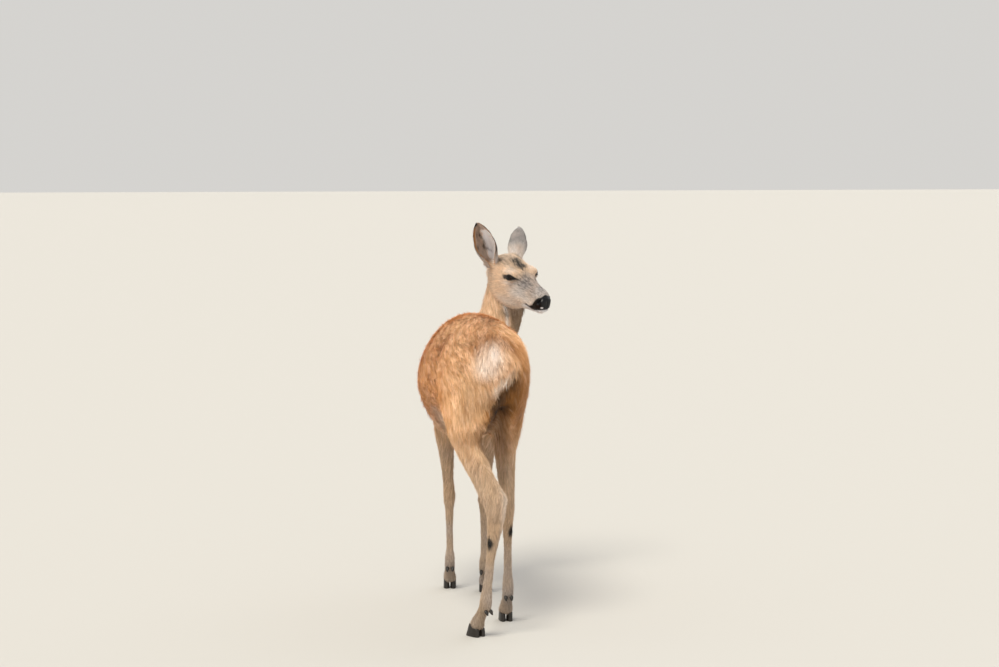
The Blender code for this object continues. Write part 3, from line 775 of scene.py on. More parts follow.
    def _away_from_horn(self) -> np.ndarray:
        """How free the skin is of the horn, which it holds.

        Returns:
            0 at the hooves and dewclaws, and 1 from two centimetres off them.
        """
        points, faces = [], []
        for name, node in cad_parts.items():
            if name.startswith(("hoof", "dewclaw")):
                faces += [[v + len(points) for v in f.vertices] for f in node.data.polygons]
                points += [v.co.copy() for v in node.data.vertices]
        tree = BVHTree.FromPolygons(points, faces)
        far = np.ones(len(self.points))
        for k in np.flatnonzero(self.points[:, 2] < 0.14):
            far[k] = tree.find_nearest(Vector(self.points[k]))[3]
        return step(0.002, 0.020, far)

    @staticmethod
    def rump(along: np.ndarray, left: np.ndarray, height: np.ndarray) -> np.ndarray:
        """The pale patch round the tail.

        Args:
            along: The points' distance forward of the hips.
            left: Their distance left of the spine.
            height: Their height.

        Returns:
            1 at the patch's middle, fading outwards.
        """
        run, aside = left - 0.029, height - 0.616
        spread = np.hypot((0.67 * run - 0.74 * aside) / 0.047, (0.74 * run + 0.67 * aside) / 0.029)
        return step(1.45, 0.15, spread) * step(-0.02, -0.065, along)

    @staticmethod
    def cleft(left: np.ndarray, height: np.ndarray) -> np.ndarray:
        """How far points lie left of the cleft of the haunches, which runs up to her right."""
        return left - (0.004 - 0.85 * (height - 0.547))

    def eye_frame(self, side: Side) -> tuple[np.ndarray, np.ndarray, np.ndarray, np.ndarray]:
        """Where an eye looks.

        Args:
            side: Which eye.

        Returns:
            Its centre, its gaze, and the directions to its front corner and its upper lid.
        """
        ahead, left, crown = self.anatomy.axes
        gaze = unit(left * side.value * 0.92 + ahead * 0.33 + crown * 0.16)
        front = ahead + crown * 0.22
        front = unit(front - gaze * (front @ gaze))
        upper = np.cross(gaze, front)
        upper = upper if upper @ crown > 0 else -upper
        return self.anatomy.eyes[side], gaze, front, upper

    def almond(self, side: Side, points: np.ndarray) -> tuple[np.ndarray, np.ndarray]:
        """Places points about an eye's opening.

        Args:
            side: Which eye.
            points: The points.

        Returns:
            How far each lies from the eye's centre, and from the middle of the opening, whose rim is at 1.
        """
        centre, gaze, front, upper = self.eye_frame(side)
        away = points - centre
        far = np.linalg.norm(away, axis=-1)
        ray = away / np.maximum(far, 1e-9)[:, None]
        ahead = ray @ gaze
        turn = np.arctan2(ray @ front, np.maximum(ahead, 0.02))
        rise = np.arctan2(ray @ upper, np.maximum(ahead, 0.02))
        tall = np.where(rise > 0, self.eye_up, self.eye_down)
        across = turn / self.eye_long
        rise = rise + self.eye_slant * np.maximum(across, 0)
        pinch = 1 - self.pinch * np.clip(np.abs(across), 0, 1) ** 2
        opening = np.sqrt(across**2 + (rise / (tall * pinch)) ** 2)
        return far, np.where(ahead > 0, opening, 9.0)

    def _sculpt(self) -> None:
        """Lids, brows, tear ducts, nostrils and the line of the mouth."""
        points = self.points
        ahead_axis, left_axis, crown_axis = self.anatomy.axes
        for side in Side:
            centre = self.anatomy.eyes[side]
            far, opening = self.almond(side, points)
            near = far < 0.030
            ray = unit(points - centre)
            out = np.maximum(far, self.eye_radius + self.lid)
            out = out + 0.0007 * bump(opening, 1.18, 0.16) - 0.0008 * bump(opening, 1.75, 0.16)
            out = np.where(opening < 1.0, self.eye_radius - self.socket, out)
            points = np.where(near[:, None], centre + ray * out[:, None], points)
        head = self.share(Flesh.HEAD)
        points = points - self.normals * self._creases(points)[:, None]
        ahead, aside, crown = self.anatomy.head(points)
        outward = left_axis * np.sign(aside)[:, None]
        # The jaw stands off from the throat.
        seam = bump(head, 0.45, 0.22) * step(-0.044, -0.058, crown) * step(0.058, 0.085, ahead)
        points = points - self.normals * (0.0036 * seam)[:, None]
        # The tear duct is a short crease from the eye's front corner, down the cheek.
        self.duct = self._tear_duct(ahead, crown) * head
        points = points - outward * (0.0018 * self.duct)[:, None]
        # The end of the muzzle slopes down to the pad of the nose.
        tip = step(0.176, 0.192, ahead) * head
        bridge = step(0.118, 0.145, ahead) * step(-0.006, 0.010, crown) * head
        slope = 0.0045 * tip * step(-0.016, 0.002, crown) + 0.0018 * bridge
        points = points - crown_axis * slope[:, None]
        ahead, aside, crown = self.anatomy.head(points)
        flank = np.abs(aside)
        # Each nostril is a comma that opens to the side, under a rounded wing.
        wing = bump(ahead, 0.190, 0.008) * bump(crown, -0.006, 0.006) * bump(flank, 0.015, 0.007)
        swell = outward + ahead_axis * 0.4 + crown_axis * 0.5
        points = points + swell * (0.0022 * wing * head)[:, None]
        lean = (ahead - 0.1880) - 0.38 * (crown + 0.0105)
        run = (crown + 0.0105) + 0.38 * (ahead - 0.1880)
        comma = bump(lean, 0.0, 0.0026) * bump(run, 0.0, 0.0060) * step(0.007, 0.011, flank) * head
        inward = outward * 0.85 + ahead_axis * 0.5
        points = points - inward * (self.nostril_depth * comma)[:, None]
        # A shallow groove runs down the middle of the nose to the lip.
        groove = bump(aside, 0.0, 0.0011) * step(0.188, 0.193, ahead) * step(-0.004, -0.010, crown)
        points = points - ahead_axis * (0.0012 * groove * head)[:, None]
        # The mouth is closed: one line along each side and round the front, under a full upper lip.
        ahead, aside, crown = self.anatomy.head(points)
        line = self.mouth_height(ahead)
        reach = step(0.143, 0.152, ahead) * head
        rounded = step(0.180, 0.200, ahead)[:, None]
        around = unit(left_axis * (aside / 0.02)[:, None] + ahead_axis * rounded)
        self.mouth_line = bump(crown - line, 0.0, 0.0012) * reach
        lip = bump(crown - line, 0.0038, 0.0028) * reach * step(0.150, 0.170, ahead)
        below = bump(crown - line, -0.0050, 0.0036) * reach * step(0.165, 0.185, ahead)
        full = 0.0011 * lip - 0.0020 * self.mouth_line + 0.0006 * below
        points = points + around * full[:, None]
        self.points = points
        self.nostril = comma

    def _creases(self, points: np.ndarray) -> np.ndarray:
        """How deep the skin folds at the elbows, the flanks and the cleft.

        Args:
            points: The vertices' places.

        Returns:
            The depth at each.
        """
        along, left, height = self.anatomy.body(points)
        depth = np.zeros(len(points))
        for group in (Flesh.HAUNCH_LEFT, Flesh.HAUNCH_RIGHT, Flesh.SHOULDER_LEFT, Flesh.SHOULDER_RIGHT):
            edge = bump(self.share(group), 0.45, 0.16) * step(0.58, 0.50, height) * step(0.36, 0.41, height)
            depth += self.crease * edge * step(0.030, 0.050, np.abs(left)) * step(-0.06, -0.02, along)
        past = self.cleft(left, height)
        reach = step(-0.05, -0.08, along) * step(0.600, 0.575, height) * step(0.490, 0.520, height)
        depth += self.cleft_depth * bump(past, -0.003, 0.009) * reach
        return depth

    @staticmethod
    def mouth_height(ahead: np.ndarray) -> np.ndarray:
        """How far crownward the mouth's line runs: down from its corner, then up to the front."""
        return -0.0345 + 0.0045 * step(0.168, 0.148, ahead) + 0.0065 * step(0.172, 0.198, ahead)

    def _tear_duct(self, ahead: np.ndarray, crown: np.ndarray) -> np.ndarray:
        """A short line down and forward from the front corner of each eye.

        Args:
            ahead: The points' distance ahead of the back of the skull.
            crown: Their distance crownward of it.

        Returns:
            1 on the line.
        """
        start, run = self.anatomy.eye_ahead + 0.0125, 0.0125
        track = np.clip((ahead - start) / run, 0, 1)
        middle = self.anatomy.eye_rise - 0.0045 - 0.0065 * track
        ends = step(start - 0.003, start, ahead) * step(start + run, start + run * 0.6, ahead)
        return bump(crown, middle, 0.0015) * ends

    def _lay(self) -> None:
        """The direction in which the hair lies, everywhere along the skin."""
        body = self.anatomy
        along, left, height = body.body(self.points)
        ahead, aside, crown = body.head(self.points)
        back, out = -body.forward(along), body.leftward(along) * np.sign(left)[:, None]
        down = np.broadcast_to(-UP, back.shape)
        rear = step(0.03, -0.09, along)
        high = step(0.40, 0.60, height)[:, None]
        part = step(0.0, 0.05, np.abs(left))
        trunk = back + down * (0.28 + 0.75 * rear)[:, None]
        trunk = trunk + out * ((0.20 + 0.35 * rear) * step(0.55, 0.66, height) * part)[:, None]
        # Round the tail the hair fans outwards over the haunches.
        fan = step(0.0, -0.07, along) * step(0.47, 0.56, height) * step(0.0, 0.04, np.abs(left - 0.02))
        fan = fan[:, None]
        haunch = back * (0.22 + 0.55 * high) + down * (1.0 - 0.35 * high) + out * (0.60 * fan)
        shoulder = back * (0.15 + 0.65 * high) + down * (1.0 - 0.45 * high)
        cannon = down + back * 0.12
        neck = down + back * (0.22 + 1.4 * step(0.1, 0.8, self.normals[:, 2]))[:, None]
        face = -body.axes[0] - body.axes[2] * (0.35 * step(0.0, -0.03, crown))[:, None]
        face = face + body.axes[1] * (np.sign(aside) * 0.30 * step(0.10, 0.05, ahead))[:, None]
        ways = {
            Flesh.HEAD: face,
            Flesh.NECK: neck,
            Flesh.TRUNK: trunk,
            Flesh.HAUNCH_LEFT: haunch,
            Flesh.HAUNCH_RIGHT: haunch,
            Flesh.SHOULDER_LEFT: shoulder,
            Flesh.SHOULDER_RIGHT: shoulder,
            Flesh.HIND_CANNONS: cannon,
            Flesh.FORE_CANNONS: cannon,
        }
        lie = sum(unit(way) * self.share(group)[:, None] for group, way in ways.items())
        side = np.cross(self.normals, unit(lie))
        swirl = blotches(self.points, 1000 / 11)
        lie = unit(lie) + side * (0.55 * swirl)[:, None]
        lie = lie - self.normals * dot(lie, self.normals)[:, None]
        lie = relaxed(lie, self.edges, 6)
        self.lie = unit(lie - self.normals * dot(lie, self.normals)[:, None])

    def _face_marks(self) -> dict:
        """Buff cheeks, a grey speckled muzzle, a dark blaze, a black nose and a white chin, with painted
        light on the jowls and painted shade under the jaw.

        Returns:
            The mask of each marking, not yet clipped.
        """
        ahead, aside, crown = self.anatomy.head(self.points)
        head, flank = self.share(Flesh.HEAD), np.abs(aside)
        cloud, specks = blotches(self.points, 50 / 3), blotches(self.points, 100 / 33)
        top = step(-0.030, 0.010, crown)
        brows = step(0.030, 0.045, crown)
        bridge = step(0.098, 0.130, ahead) * top
        # A dark blaze between the brows breaks up into specks, and a faint stripe runs on from it.
        blaze = bump(aside + 0.004 * cloud, 0.000, 0.0160) * step(0.030, 0.040, crown)
        blaze = blaze * step(0.060, 0.074, ahead) * step(0.114, 0.096, ahead)
        blaze = blaze * step(-0.75, -0.05, specks + 0.5 * cloud)
        stripe = bump(aside, -0.002, 0.014) * step(0.080, 0.100, ahead)
        stripe = stripe * step(0.175, 0.140, ahead) * step(0.0, 0.02, crown)
        speckled = step(0.02, 0.36, specks + 0.20 * cloud)
        speckled = speckled * (0.40 * bridge + 0.34 * brows + 0.45 * stripe)
        self.grizzle = head * (bridge + 0.7 * brows + 0.35 * step(0.080, 0.110, ahead))
        # The leather of the nose reaches back over the nostrils and down to the lip.
        edge = 0.1945 - 0.0105 * np.clip(flank / 0.019, 0, 1.3) ** 2
        edge = edge - 0.59 * np.clip(-0.003 - crown, 0, 0.022)
        edge = edge - 0.0070 * bump(flank, 0.0, 0.011) * step(-0.010, 0.0, crown)
        edge = edge - 2.2 * np.clip(-0.025 - crown, 0, 0.0095) + 0.0012 * cloud
        line = self.mouth_height(ahead)
        nose = step(edge - 0.0010, edge + 0.0010, ahead) * step(line - 0.0012, line, crown)
        # A small white spot stands on the lip at each side, and the chin is white.
        spot = bump(ahead, 0.1945, 0.0045) * bump(flank, 0.0120, 0.0042)
        spot = step(0.35, 0.60, spot * bump(crown, line + 0.0052, 0.0026))
        self.length = self.length * (1 - 0.6 * spot)
        chin = step(line, line - 0.0022, crown) * step(0.128, 0.160, ahead)
        corner = bump(crown - line, 0.0008, 0.0022) * step(0.143, 0.150, ahead) * step(0.185, 0.172, ahead)
        jaw = step(-0.030, -0.052, crown) * step(0.060, 0.090, ahead)
        brow = bump(ahead, 0.086, 0.015) * bump(crown, 0.040, 0.006) * step(0.018, 0.025, flank)
        cheek = step(0.130, 0.155, ahead) * step(0.0, -0.02, crown)
        cheek = cheek + bump(ahead, 0.128, 0.022) * bump(crown, -0.010, 0.016)
        # Painted light: the jowls, which face down, are made paler and whiter as if lit.
        jowl_painted_light = bump(ahead, 0.100, 0.034) * bump(crown, -0.037, 0.013)
        muzzle = bump(ahead, 0.122, 0.030) * bump(crown, -0.006, 0.022)
        bridge_end = step(0.150, 0.178, ahead) * top
        behind_ear = bump(ahead, 0.008, 0.016) * bump(flank, 0.046, 0.014) * bump(crown, 0.008, 0.022)
        ear_spot = bump(ahead, 0.051, 0.0055) * bump(flank, 0.0275, 0.0045) * step(0.030, 0.040, crown)
        lids, corners, lid_light = self._eye_marks(aside)
        # Painted shade under the jaw, where it meets the neck.
        throat = bump(ahead, 0.075, 0.012) * bump(crown, -0.070, 0.008) * self.share(Flesh.NECK) * 0.6
        self.bald = np.clip(head * (nose * (1 - spot) + (lids > 0.7) + (self.mouth_line > 0.5)), 0, 1)
        self.leather = head * nose * (1 - spot) > 0.5
        white = 0.85 * chin + spot + 0.22 * cheek + 0.14 * jowl_painted_light + 0.45 * lid_light + 0.04
        white = white + 0.26 * muzzle + 0.34 * bridge_end
        pale = chin + 0.22 * brow + 0.55 * behind_ear + 0.35 * cheek + 0.34 * jowl_painted_light + 0.45 * jaw
        pale = pale + 0.32 * (1 - bridge)
        dark = 0.92 * blaze + 0.10 * brows * step(0.100, 0.080, ahead) + 0.13 * bridge * (1 + cloud) + 0.04
        dark = dark + (nose + 0.7 * ear_spot) * (1 - spot) + lids + 0.9 * corners
        dark = dark + self.mouth_line + self.nostril + 0.8 * speckled * (1 - nose) + 0.9 * corner
        return {
            "rust": head * 0.06 * (1 + cloud),
            "fawn": head * (0.16 + 0.20 * step(0.075, 0.03, ahead)),
            "grey": head * np.clip(0.86 * bridge + 0.22 * cloud + 0.30 * step(0.035, 0.050, crown), 0, 1),
            "white": head * white,
            "pale": head * pale,
            "dark": head * dark + 0.25 * self.duct + throat,
        }

    def _eye_marks(self, aside: np.ndarray) -> tuple[np.ndarray, np.ndarray, np.ndarray]:
        """The black lids and eye corners, and the pale hair round them.

        Args:
            aside: The vertices' distance left of the head's middle.

        Returns:
            The masks of the lids, of the corners and of the pale hair.
        """
        lids, corners, light = np.zeros((3, len(self.points)))
        for side in Side:
            near = (aside * side.value > 0.012).astype(float)
            far, opening = self.almond(side, self.points)
            lids = lids + step(1.42, 1.16, opening) * (far < 0.020)
            self.length = self.length * (1 - 0.45 * step(2.1, 1.25, opening) * (far < 0.030))
            centre, _, forward, upper = self.eye_frame(side)
            away = self.points - centre
            run, rise = away @ forward, away @ upper
            taper = 0.0062 * np.sqrt(np.clip((run + 0.0200) / 0.0050, 0.01, 1))
            rear = step(1.1 * taper, 0.8 * taper, np.abs(rise + 0.0003)) * step(-0.0200, -0.0185, run)
            drop = -0.0028 - 0.25 * (run - 0.012)
            front = bump(rise - drop, 0.0, 0.0018) * step(0.0250, 0.0180, run) * step(0.009, 0.011, run)
            corners = corners + (rear * step(-0.0085, -0.0105, run) + front) * near
            pouch = bump(rise, -0.0135, 0.0050) * bump(run, -0.001, 0.017)
            lash = bump(rise, 0.0125, 0.0040) * bump(run, -0.003, 0.015)
            light = light + (pouch + 0.6 * lash) * near
        return lids, corners, light

    def _body_marks(self) -> dict:
        """Red-brown flanks, a pale rump and buff legs, with painted shade between and behind the haunches and
        on the neck, and a painted lit paleness elsewhere.

        Returns:
            The mask of each marking, not yet clipped.
        """
        along, left, height = self.anatomy.body(self.points)
        head, neck, trunk = self.share(Flesh.HEAD), self.share(Flesh.NECK), self.share(Flesh.TRUNK)
        flank = np.abs(left)
        cloud, ripple = blotches(self.points, 500 / 11), blotches(self.points, 200 / 19)
        legs = step(0.50, 0.32, height) * (1 - head) * (1 - trunk)
        shank = step(0.26, 0.12, height)
        belly = step(-0.20, -0.95, self.normals[:, 2]) * step(0.48, 0.42, height) * trunk
        groin = step(0.030, 0.010, flank) * step(0.42, 0.36, height) * step(0.10, 0.0, along)
        side = step(0.050, 0.095, flank) * step(-0.02, 0.12, along) * (1 - legs)
        flanks = 0.05 + 0.62 * side + 0.18 * step(0.60, 0.50, height) * side
        flanks = flanks + 0.12 * trunk * step(0.30, 0.45, along)
        flanks = flanks * (1 - 0.85 * legs) * (1 - head) * (1 - 0.8 * neck)
        # Painted shade between the thighs: a warm dark brown.
        crotch_shade = step(0.034, 0.008, np.abs(left - 0.015)) * step(0.545, 0.505, height)
        crotch_shade = crotch_shade * step(0.34, 0.42, height) * step(0.16, 0.08, along)
        # The pale patch round the tail, a lighter brush at its head, and a rusty arch over it.
        rump = self.rump(along, left, height)
        brush = bump(left, 0.014, 0.009) * bump(height, 0.634, 0.013) * step(-0.04, -0.07, along)
        arch = bump(np.hypot((left - 0.014) / 0.038, (height - 0.620) / 0.038), 1.0, 0.26)
        arch = arch * step(0.612, 0.640, height) * step(0.02, -0.02, along)
        # Past the cleft: a pale fringe on its left, and painted shade on its right and within.
        past = self.cleft(left, height) + 0.007 * ripple
        rear, seat = step(-0.05, -0.08, along) * step(0.610, 0.585, height), step(-0.02, -0.06, along)
        fringe = bump(past, 0.024, 0.012) * rear * step(0.530, 0.566, height) * (0.9 + 1.2 * cloud)
        shadow = bump(past, -0.001, 0.012) * rear * step(0.510, 0.540, height)
        # Painted shade down the inside of the right thigh, and over her right haunch.
        inner = step(0.0, -0.020, past) * step(0.10, 0.0, along) * step(0.38, 0.46, height)
        far = step(-0.012, -0.042, left) * seat * step(0.46, 0.52, height)
        shade = step(0.004, -0.008, past) * step(-0.050, -0.026, left) * seat
        shade = shade * step(0.47, 0.52, height) * step(0.600, 0.585, height)
        # The lower haunch left of the cleft is darker and redder: partly its own coat, partly painted shade.
        low_haunch_coat_and_shade = step(0.600, 0.540, height) * step(0.40, 0.46, height) * step(0.02, -0.06, along)
        low_haunch_coat_and_shade = low_haunch_coat_and_shade * step(0.002, 0.014, past) * (1 - side)
        fold = bump(along, 0.195, 0.035) * bump(height, 0.462, 0.020) * step(0.035, 0.055, flank)
        gland = self._gland(Side.LEFT) + self._gland(Side.RIGHT)
        # A pale streak runs down the front of the throat, and painted shade makes one side of the neck's
        # front darker and greyer under the jaw.
        facing = unit(self.anatomy.axes[0] * np.array([1, 1, 0]))
        front = self.normals @ facing
        ahead, aside, _ = self.anatomy.head(self.points)
        throat = bump(aside, -0.021, 0.0045) * step(0.3, 0.6, front) * neck * step(0.620, 0.645, height)
        shaded = step(-0.018, -0.004, aside) * step(0.040, 0.070, ahead) * neck
        rust = flanks + 0.22 * cloud * (1 - head) + 0.42 * inner + 0.85 * shadow + 0.55 * crotch_shade
        rust = rust + 0.40 * far + 0.90 * arch + 0.70 * shade + 0.20 * low_haunch_coat_and_shade
        rust = rust + 0.20 * legs * (1 - 0.6 * shank)
        pale = 0.34 * rump * (1 + 0.7 * cloud) + 0.58 * belly + 0.55 * groin + 0.60 * throat
        pale = pale + 0.62 * fringe + 0.34 * fold
        # Painted light: the coat is paler wherever no shade is painted, and the neck outside its painted
        # shade.
        lit_paleness = 0.10 * (1 - legs) * (1 - np.clip(shade + shadow, 0, 1)) + 0.12 * neck * (1 - shaded)
        dark = 0.55 * crotch_shade + 0.62 * shadow + 0.17 * inner + 0.10 * far + 0.26 * arch + 0.34 * shade
        dark = dark + 0.24 * low_haunch_coat_and_shade + 0.95 * gland + 0.22 * legs * shank * step(0.10, 0.06, height)
        dark = dark + 0.42 * shaded * (1 - head) + 0.06 * legs + 0.10 * neck
        return {
            "rust": np.clip(rust, 0, 1),
            "fawn": (legs * (0.72 + 0.20 * shank) + neck * (0.15 + 0.50 * shaded)) * (1 - head),
            "white": 0.45 * throat + 0.26 * rump**2 + 0.30 * brush + 0.04 * legs,
            "grey": legs * (0.16 + 0.30 * shank) * (1 + cloud) + 0.24 * rump + 0.2 * brush,
            "pale": pale + lit_paleness * (1 - head),
            "dark": dark,
        }

    def _gland(self, side: Side) -> np.ndarray:
        """The dark tuft on the outer rear of a hind cannon, below the hock.

        Args:
            side: Which leg.

        Returns:
            1 on the tuft.
        """
        low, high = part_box(f"leg_hind_{side.word}_lower")
        margin = 0.01
        in_box = (self.points > np.array(low) - margin) & (self.points < np.array(high) + margin)
        in_box = np.all(in_box, axis=1)
        ring = in_box & (np.abs(self.points[:, 2] - self.gland_height) < 0.004)
        place = self.points[ring].mean(axis=0) + np.array([0.012 * side.value, 0.010, 0.0])
        away = (self.points - place) / np.array(self.gland_size)
        return step(0.20, 0.62, np.exp(-dot(away, away))) * in_box


# ---- the coat


@dataclass
class Scatter:
    """Random places over a surface's triangles, which read what its vertices carry."""

    triangles: np.ndarray
    weight: np.ndarray
    count: int
    random: np.random.Generator

    def __post_init__(self) -> None:
        """Draws a triangle for each place, by weight, and then where in it the place lies."""
        drawn = self.random.random(self.count) * self.weight.sum()
        chosen = np.searchsorted(np.cumsum(self.weight), drawn)
        self.chosen = np.minimum(chosen, len(self.triangles) - 1)
        a, b = np.sqrt(self.random.random(self.count)), self.random.random(self.count)
        self.share = np.stack([1 - a, a * (1 - b), a * b], axis=1)

    def blend(self, corners: np.ndarray) -> np.ndarray:
        """Blends what the corners of the drawn triangles carry.

        Args:
            corners: One number or one row for each corner.

        Returns:
            One number or one row for each place.
        """
        if corners.ndim == 2:
            return np.einsum("nk,nk->n", corners, self.share)
        return np.einsum("nkd,nk->nd", corners, self.share)

    def read(self, values: np.ndarray) -> np.ndarray:
        """Values of the surface's vertices, read at the places."""
        return self.blend(values[self.triangles[self.chosen]])


@dataclass
class Roots:
    """The places where a patch of coat grows, with what each tuft needs to know."""

    place: np.ndarray
    facts: dict

    def object(self, name: str) -> bpy.types.Object:
        """The roots as a mesh of loose vertices that carries the facts.

        Args:
            name: The object's name.

        Returns:
            The object.
        """
        mesh = bpy.data.meshes.new(name)
        mesh.vertices.add(len(self.place))
        mesh.vertices.foreach_set("co", self.place.astype(np.float32).ravel())
        for key, values in self.facts.items():
            write_attribute(mesh, key, values)
        mesh.update()
        return new_object(name, mesh)


@dataclass
class Coat:
    """Hair over a skin, in patches of tufts.

    One hair is a tenth of a millimetre thick, too fine to show, so each tuft stands for about a dozen.
    """

    finish: bpy.types.Material
    width: float = 0.00125
    thickness: float = 0.0005
    jitter: float = 0.13
    lock_grid: float = 0.30  # these three are in lengths of the hair
    lock_width: float = 0.24
    lock_length: float = 1.05
    most: int = 49_500  # tufts in a patch, at four faces each

    def __post_init__(self) -> None:
        """Builds the tree and the tuft once."""
        self.tree = self._lay_tree()
        self.tuft = self._one_tuft()
        self.random = np.random.default_rng(SEED)

    @staticmethod
    def _one_tuft() -> bpy.types.Object:
        """One closed tuft, of length, width and thickness 1, that lies along +X.

        Returns:
            The tuft, which the tree copies.
        """
        points = np.array([(0, -0.5, 0), (0, 0.5, 0), (0.10, 0, 1.0), (1, 0, 0.15)])
        faces = [(0, 1, 2), (0, 2, 3), (2, 1, 3), (1, 0, 3)]
        made = new_object("tuft", mesh_of("tuft", points, faces, smooth=False))
        face_outwards(made.data)
        write_attribute(made.data, "reach", np.array([0.0, 0.0, 0.25, 1.0]))
        patch = [(-0.5, -0.5, 0), (0.5, -0.5, 0), (0, -0.2, 0), (0, 0.5, 0)]
        write_attribute(made.data, "patch", np.array(patch))
        made.hide_render = True
        return made

    @staticmethod
    def _lay_tree() -> bpy.types.NodeTree:
        """The tree that plants a tuft on each root, leans it along the skin and makes it real.

        Returns:
            The tree.
        """
        tree = bpy.data.node_groups.new("Lay coat", "GeometryNodeTree")
        sockets = (
            ("Roots", "NodeSocketGeometry", None),
            ("Tuft", "NodeSocketObject", None),
            ("Width", "NodeSocketFloat", 0.0013),
            ("Thickness", "NodeSocketFloat", 0.0005),
            ("Jitter", "NodeSocketFloat", 0.16),
            ("Bake patch", "NodeSocketFloat", 0.003),
            ("Seed", "NodeSocketInt", SEED),
            ("Finish", "NodeSocketMaterial", None),
        )
        for name, kind, value in sockets:
            made = tree.interface.new_socket(name, in_out="INPUT", socket_type=kind)
            if value is not None:
                made.default_value = value
        tree.interface.new_socket("Coat", in_out="OUTPUT", socket_type="NodeSocketGeometry")
        given = add_node(tree, "NodeGroupInput").outputs
        # What the roots and the tuft carry.
        numbers, vectors = ("hair", "fine"), ("lie", "up", "lean", "patch", "unwrap")
        kinds = {name: "FLOAT" for name in numbers} | {name: "FLOAT_VECTOR" for name in vectors}
        own = {
            name: add_node(tree, "GeometryNodeInputNamedAttribute", {"Name": name}, data_type=kind)
            for name, kind in kinds.items()
        }
        points = add_node(tree, "GeometryNodeMeshToPoints", {"Mesh": given["Roots"], "Radius": 0.001})
        lain = add_node(
            tree,
            "FunctionNodeAxesToRotation",
            {"Primary Axis": own["lie"], "Secondary Axis": own["up"]},
            primary_axis="X",
            secondary_axis="Z",
        )
        shake = add_node(
            tree,
            "FunctionNodeRandomValue",
            {"Min": (-1.0, -0.5, -1.0), "Max": (1.0, 0.5, 1.0), "Seed": given["Seed"]},
            data_type="FLOAT_VECTOR",
        )
        shaken = {0: shake, "Scale": given["Jitter"]}
        jitter = add_node(tree, "ShaderNodeVectorMath", shaken, operation="SCALE")
        lean = add_node(tree, "ShaderNodeVectorMath", {0: own["lean"], 1: jitter}, operation="ADD")
        leant = add_node(tree, "FunctionNodeEulerToRotation", {"Euler": lean})
        turned = add_node(
            tree,
            "FunctionNodeRotateRotation",
            {"Rotation": lain, "Rotate By": leant},
            rotation_space="LOCAL",
        )
        wide, thick = (
            add_node(tree, "ShaderNodeMath", {0: given[name], 1: own["fine"]}, operation="MULTIPLY")
            for name in ("Width", "Thickness")
        )
        size = add_node(tree, "ShaderNodeCombineXYZ", {"X": own["hair"], "Y": wide, "Z": thick})
        shape = add_node(tree, "GeometryNodeObjectInfo", {"Object": given["Tuft"]})
        planted = add_node(
            tree,
            "GeometryNodeInstanceOnPoints",
            {"Points": points, "Instance": shape.outputs["Geometry"], "Rotation": turned, "Scale": size},
        )
        real = add_node(tree, "GeometryNodeRealizeInstances", {"Geometry": planted})
        # Each tuft has its own small patch of the bake's map, round its root's place on the skin's.
        spread = {0: own["patch"], "Scale": given["Bake patch"]}
        patch = add_node(tree, "ShaderNodeVectorMath", spread, operation="SCALE")
        place = add_node(tree, "ShaderNodeVectorMath", {0: own["unwrap"], 1: patch}, operation="ADD")
        mapped = add_node(
            tree,
            "GeometryNodeStoreNamedAttribute",
            {"Geometry": real, "Name": "OFBake", "Value": place},
            data_type="FLOAT2",
            domain="CORNER",
        )
        for name in kinds:
            mapped = add_node(tree, "GeometryNodeRemoveAttribute", {"Geometry": mapped, "Name": name})
        dressed = {"Geometry": mapped, "Material": given["Finish"]}
        done = add_node(tree, "GeometryNodeSetMaterial", dressed)
        add_node(tree, "NodeGroupOutput", {"Coat": done})
        return tree

    def locks(
        self, place: np.ndarray, lie: np.ndarray, up: np.ndarray, length: float
    ) -> tuple[np.ndarray, ...]:
        """Groups tufts into locks: cells round the jittered points of a grid, drawn out along the hair.

        Args:
            place: The tufts' roots.
            lie: The way the hair lies at each.
            up: The skin's normal at each.
            length: The length of the hair round here.

        Returns:
            For each tuft, two random numbers from -1 to 1 that its lock shares, and how far it stands aside
            of its lock's middle and along it, in shares of the lock's half width and half length.
        """
        grid = self.lock_grid * length
        long, wide = self.lock_length * length / 2, self.lock_width * length / 2
        across = np.cross(up, lie)
        cell = np.floor(place / grid)
        best = np.full(len(place), 1e9)
        chosen = np.zeros((len(place), 4))
        for shift in np.ndindex(3, 3, 3):
            corner = cell + np.array(shift) - 1
            # A cell always throws the same five dice.
            key = corner @ np.array([127.1, 311.7, 74.7])
            dice = [np.modf(np.abs(np.sin(key + k) * 43758.5453))[0] for k in (0.0, 1.3, 2.9, 4.1, 5.7)]
            away = place - (corner + np.stack(dice[:3], axis=1)) * grid
            along, aside = dot(away, lie) / long, dot(away, across) / wide
            far = along**2 + aside**2 + 0.5 * (dot(away, up) / grid) ** 2
            nearer = far < best
            best = np.where(nearer, far, best)
            found = np.stack([2 * dice[3] - 1, 2 * dice[4] - 1, aside, along], axis=1)
            chosen = np.where(nearer[:, None], found, chosen)
        return tuple(chosen.T)

    def grow(self, name: str, roots: Roots) -> bpy.types.Object:
        """Makes a patch of coat a plain mesh.

        Args:
            name: The piece's name.
            roots: Where it grows.

        Returns:
            The piece.
        """
        piece = roots.object(name)
        lay = piece.modifiers.new("Lay coat", "NODES")
        lay.node_group = self.tree
        values = {
            "Tuft": self.tuft,
            "Width": self.width,
            "Thickness": self.thickness,
            "Jitter": self.jitter,
            "Finish": self.finish,
        }
        for item in self.tree.interface.items_tree:
            if item.in_out == "INPUT" and item.name in values:
                lay[item.identifier] = values[item.name]
        settle(piece)
        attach(piece, ROOT)
        log.info("%s: %d tufts, %d faces", name, len(roots.place), len(piece.data.polygons))
        return piece


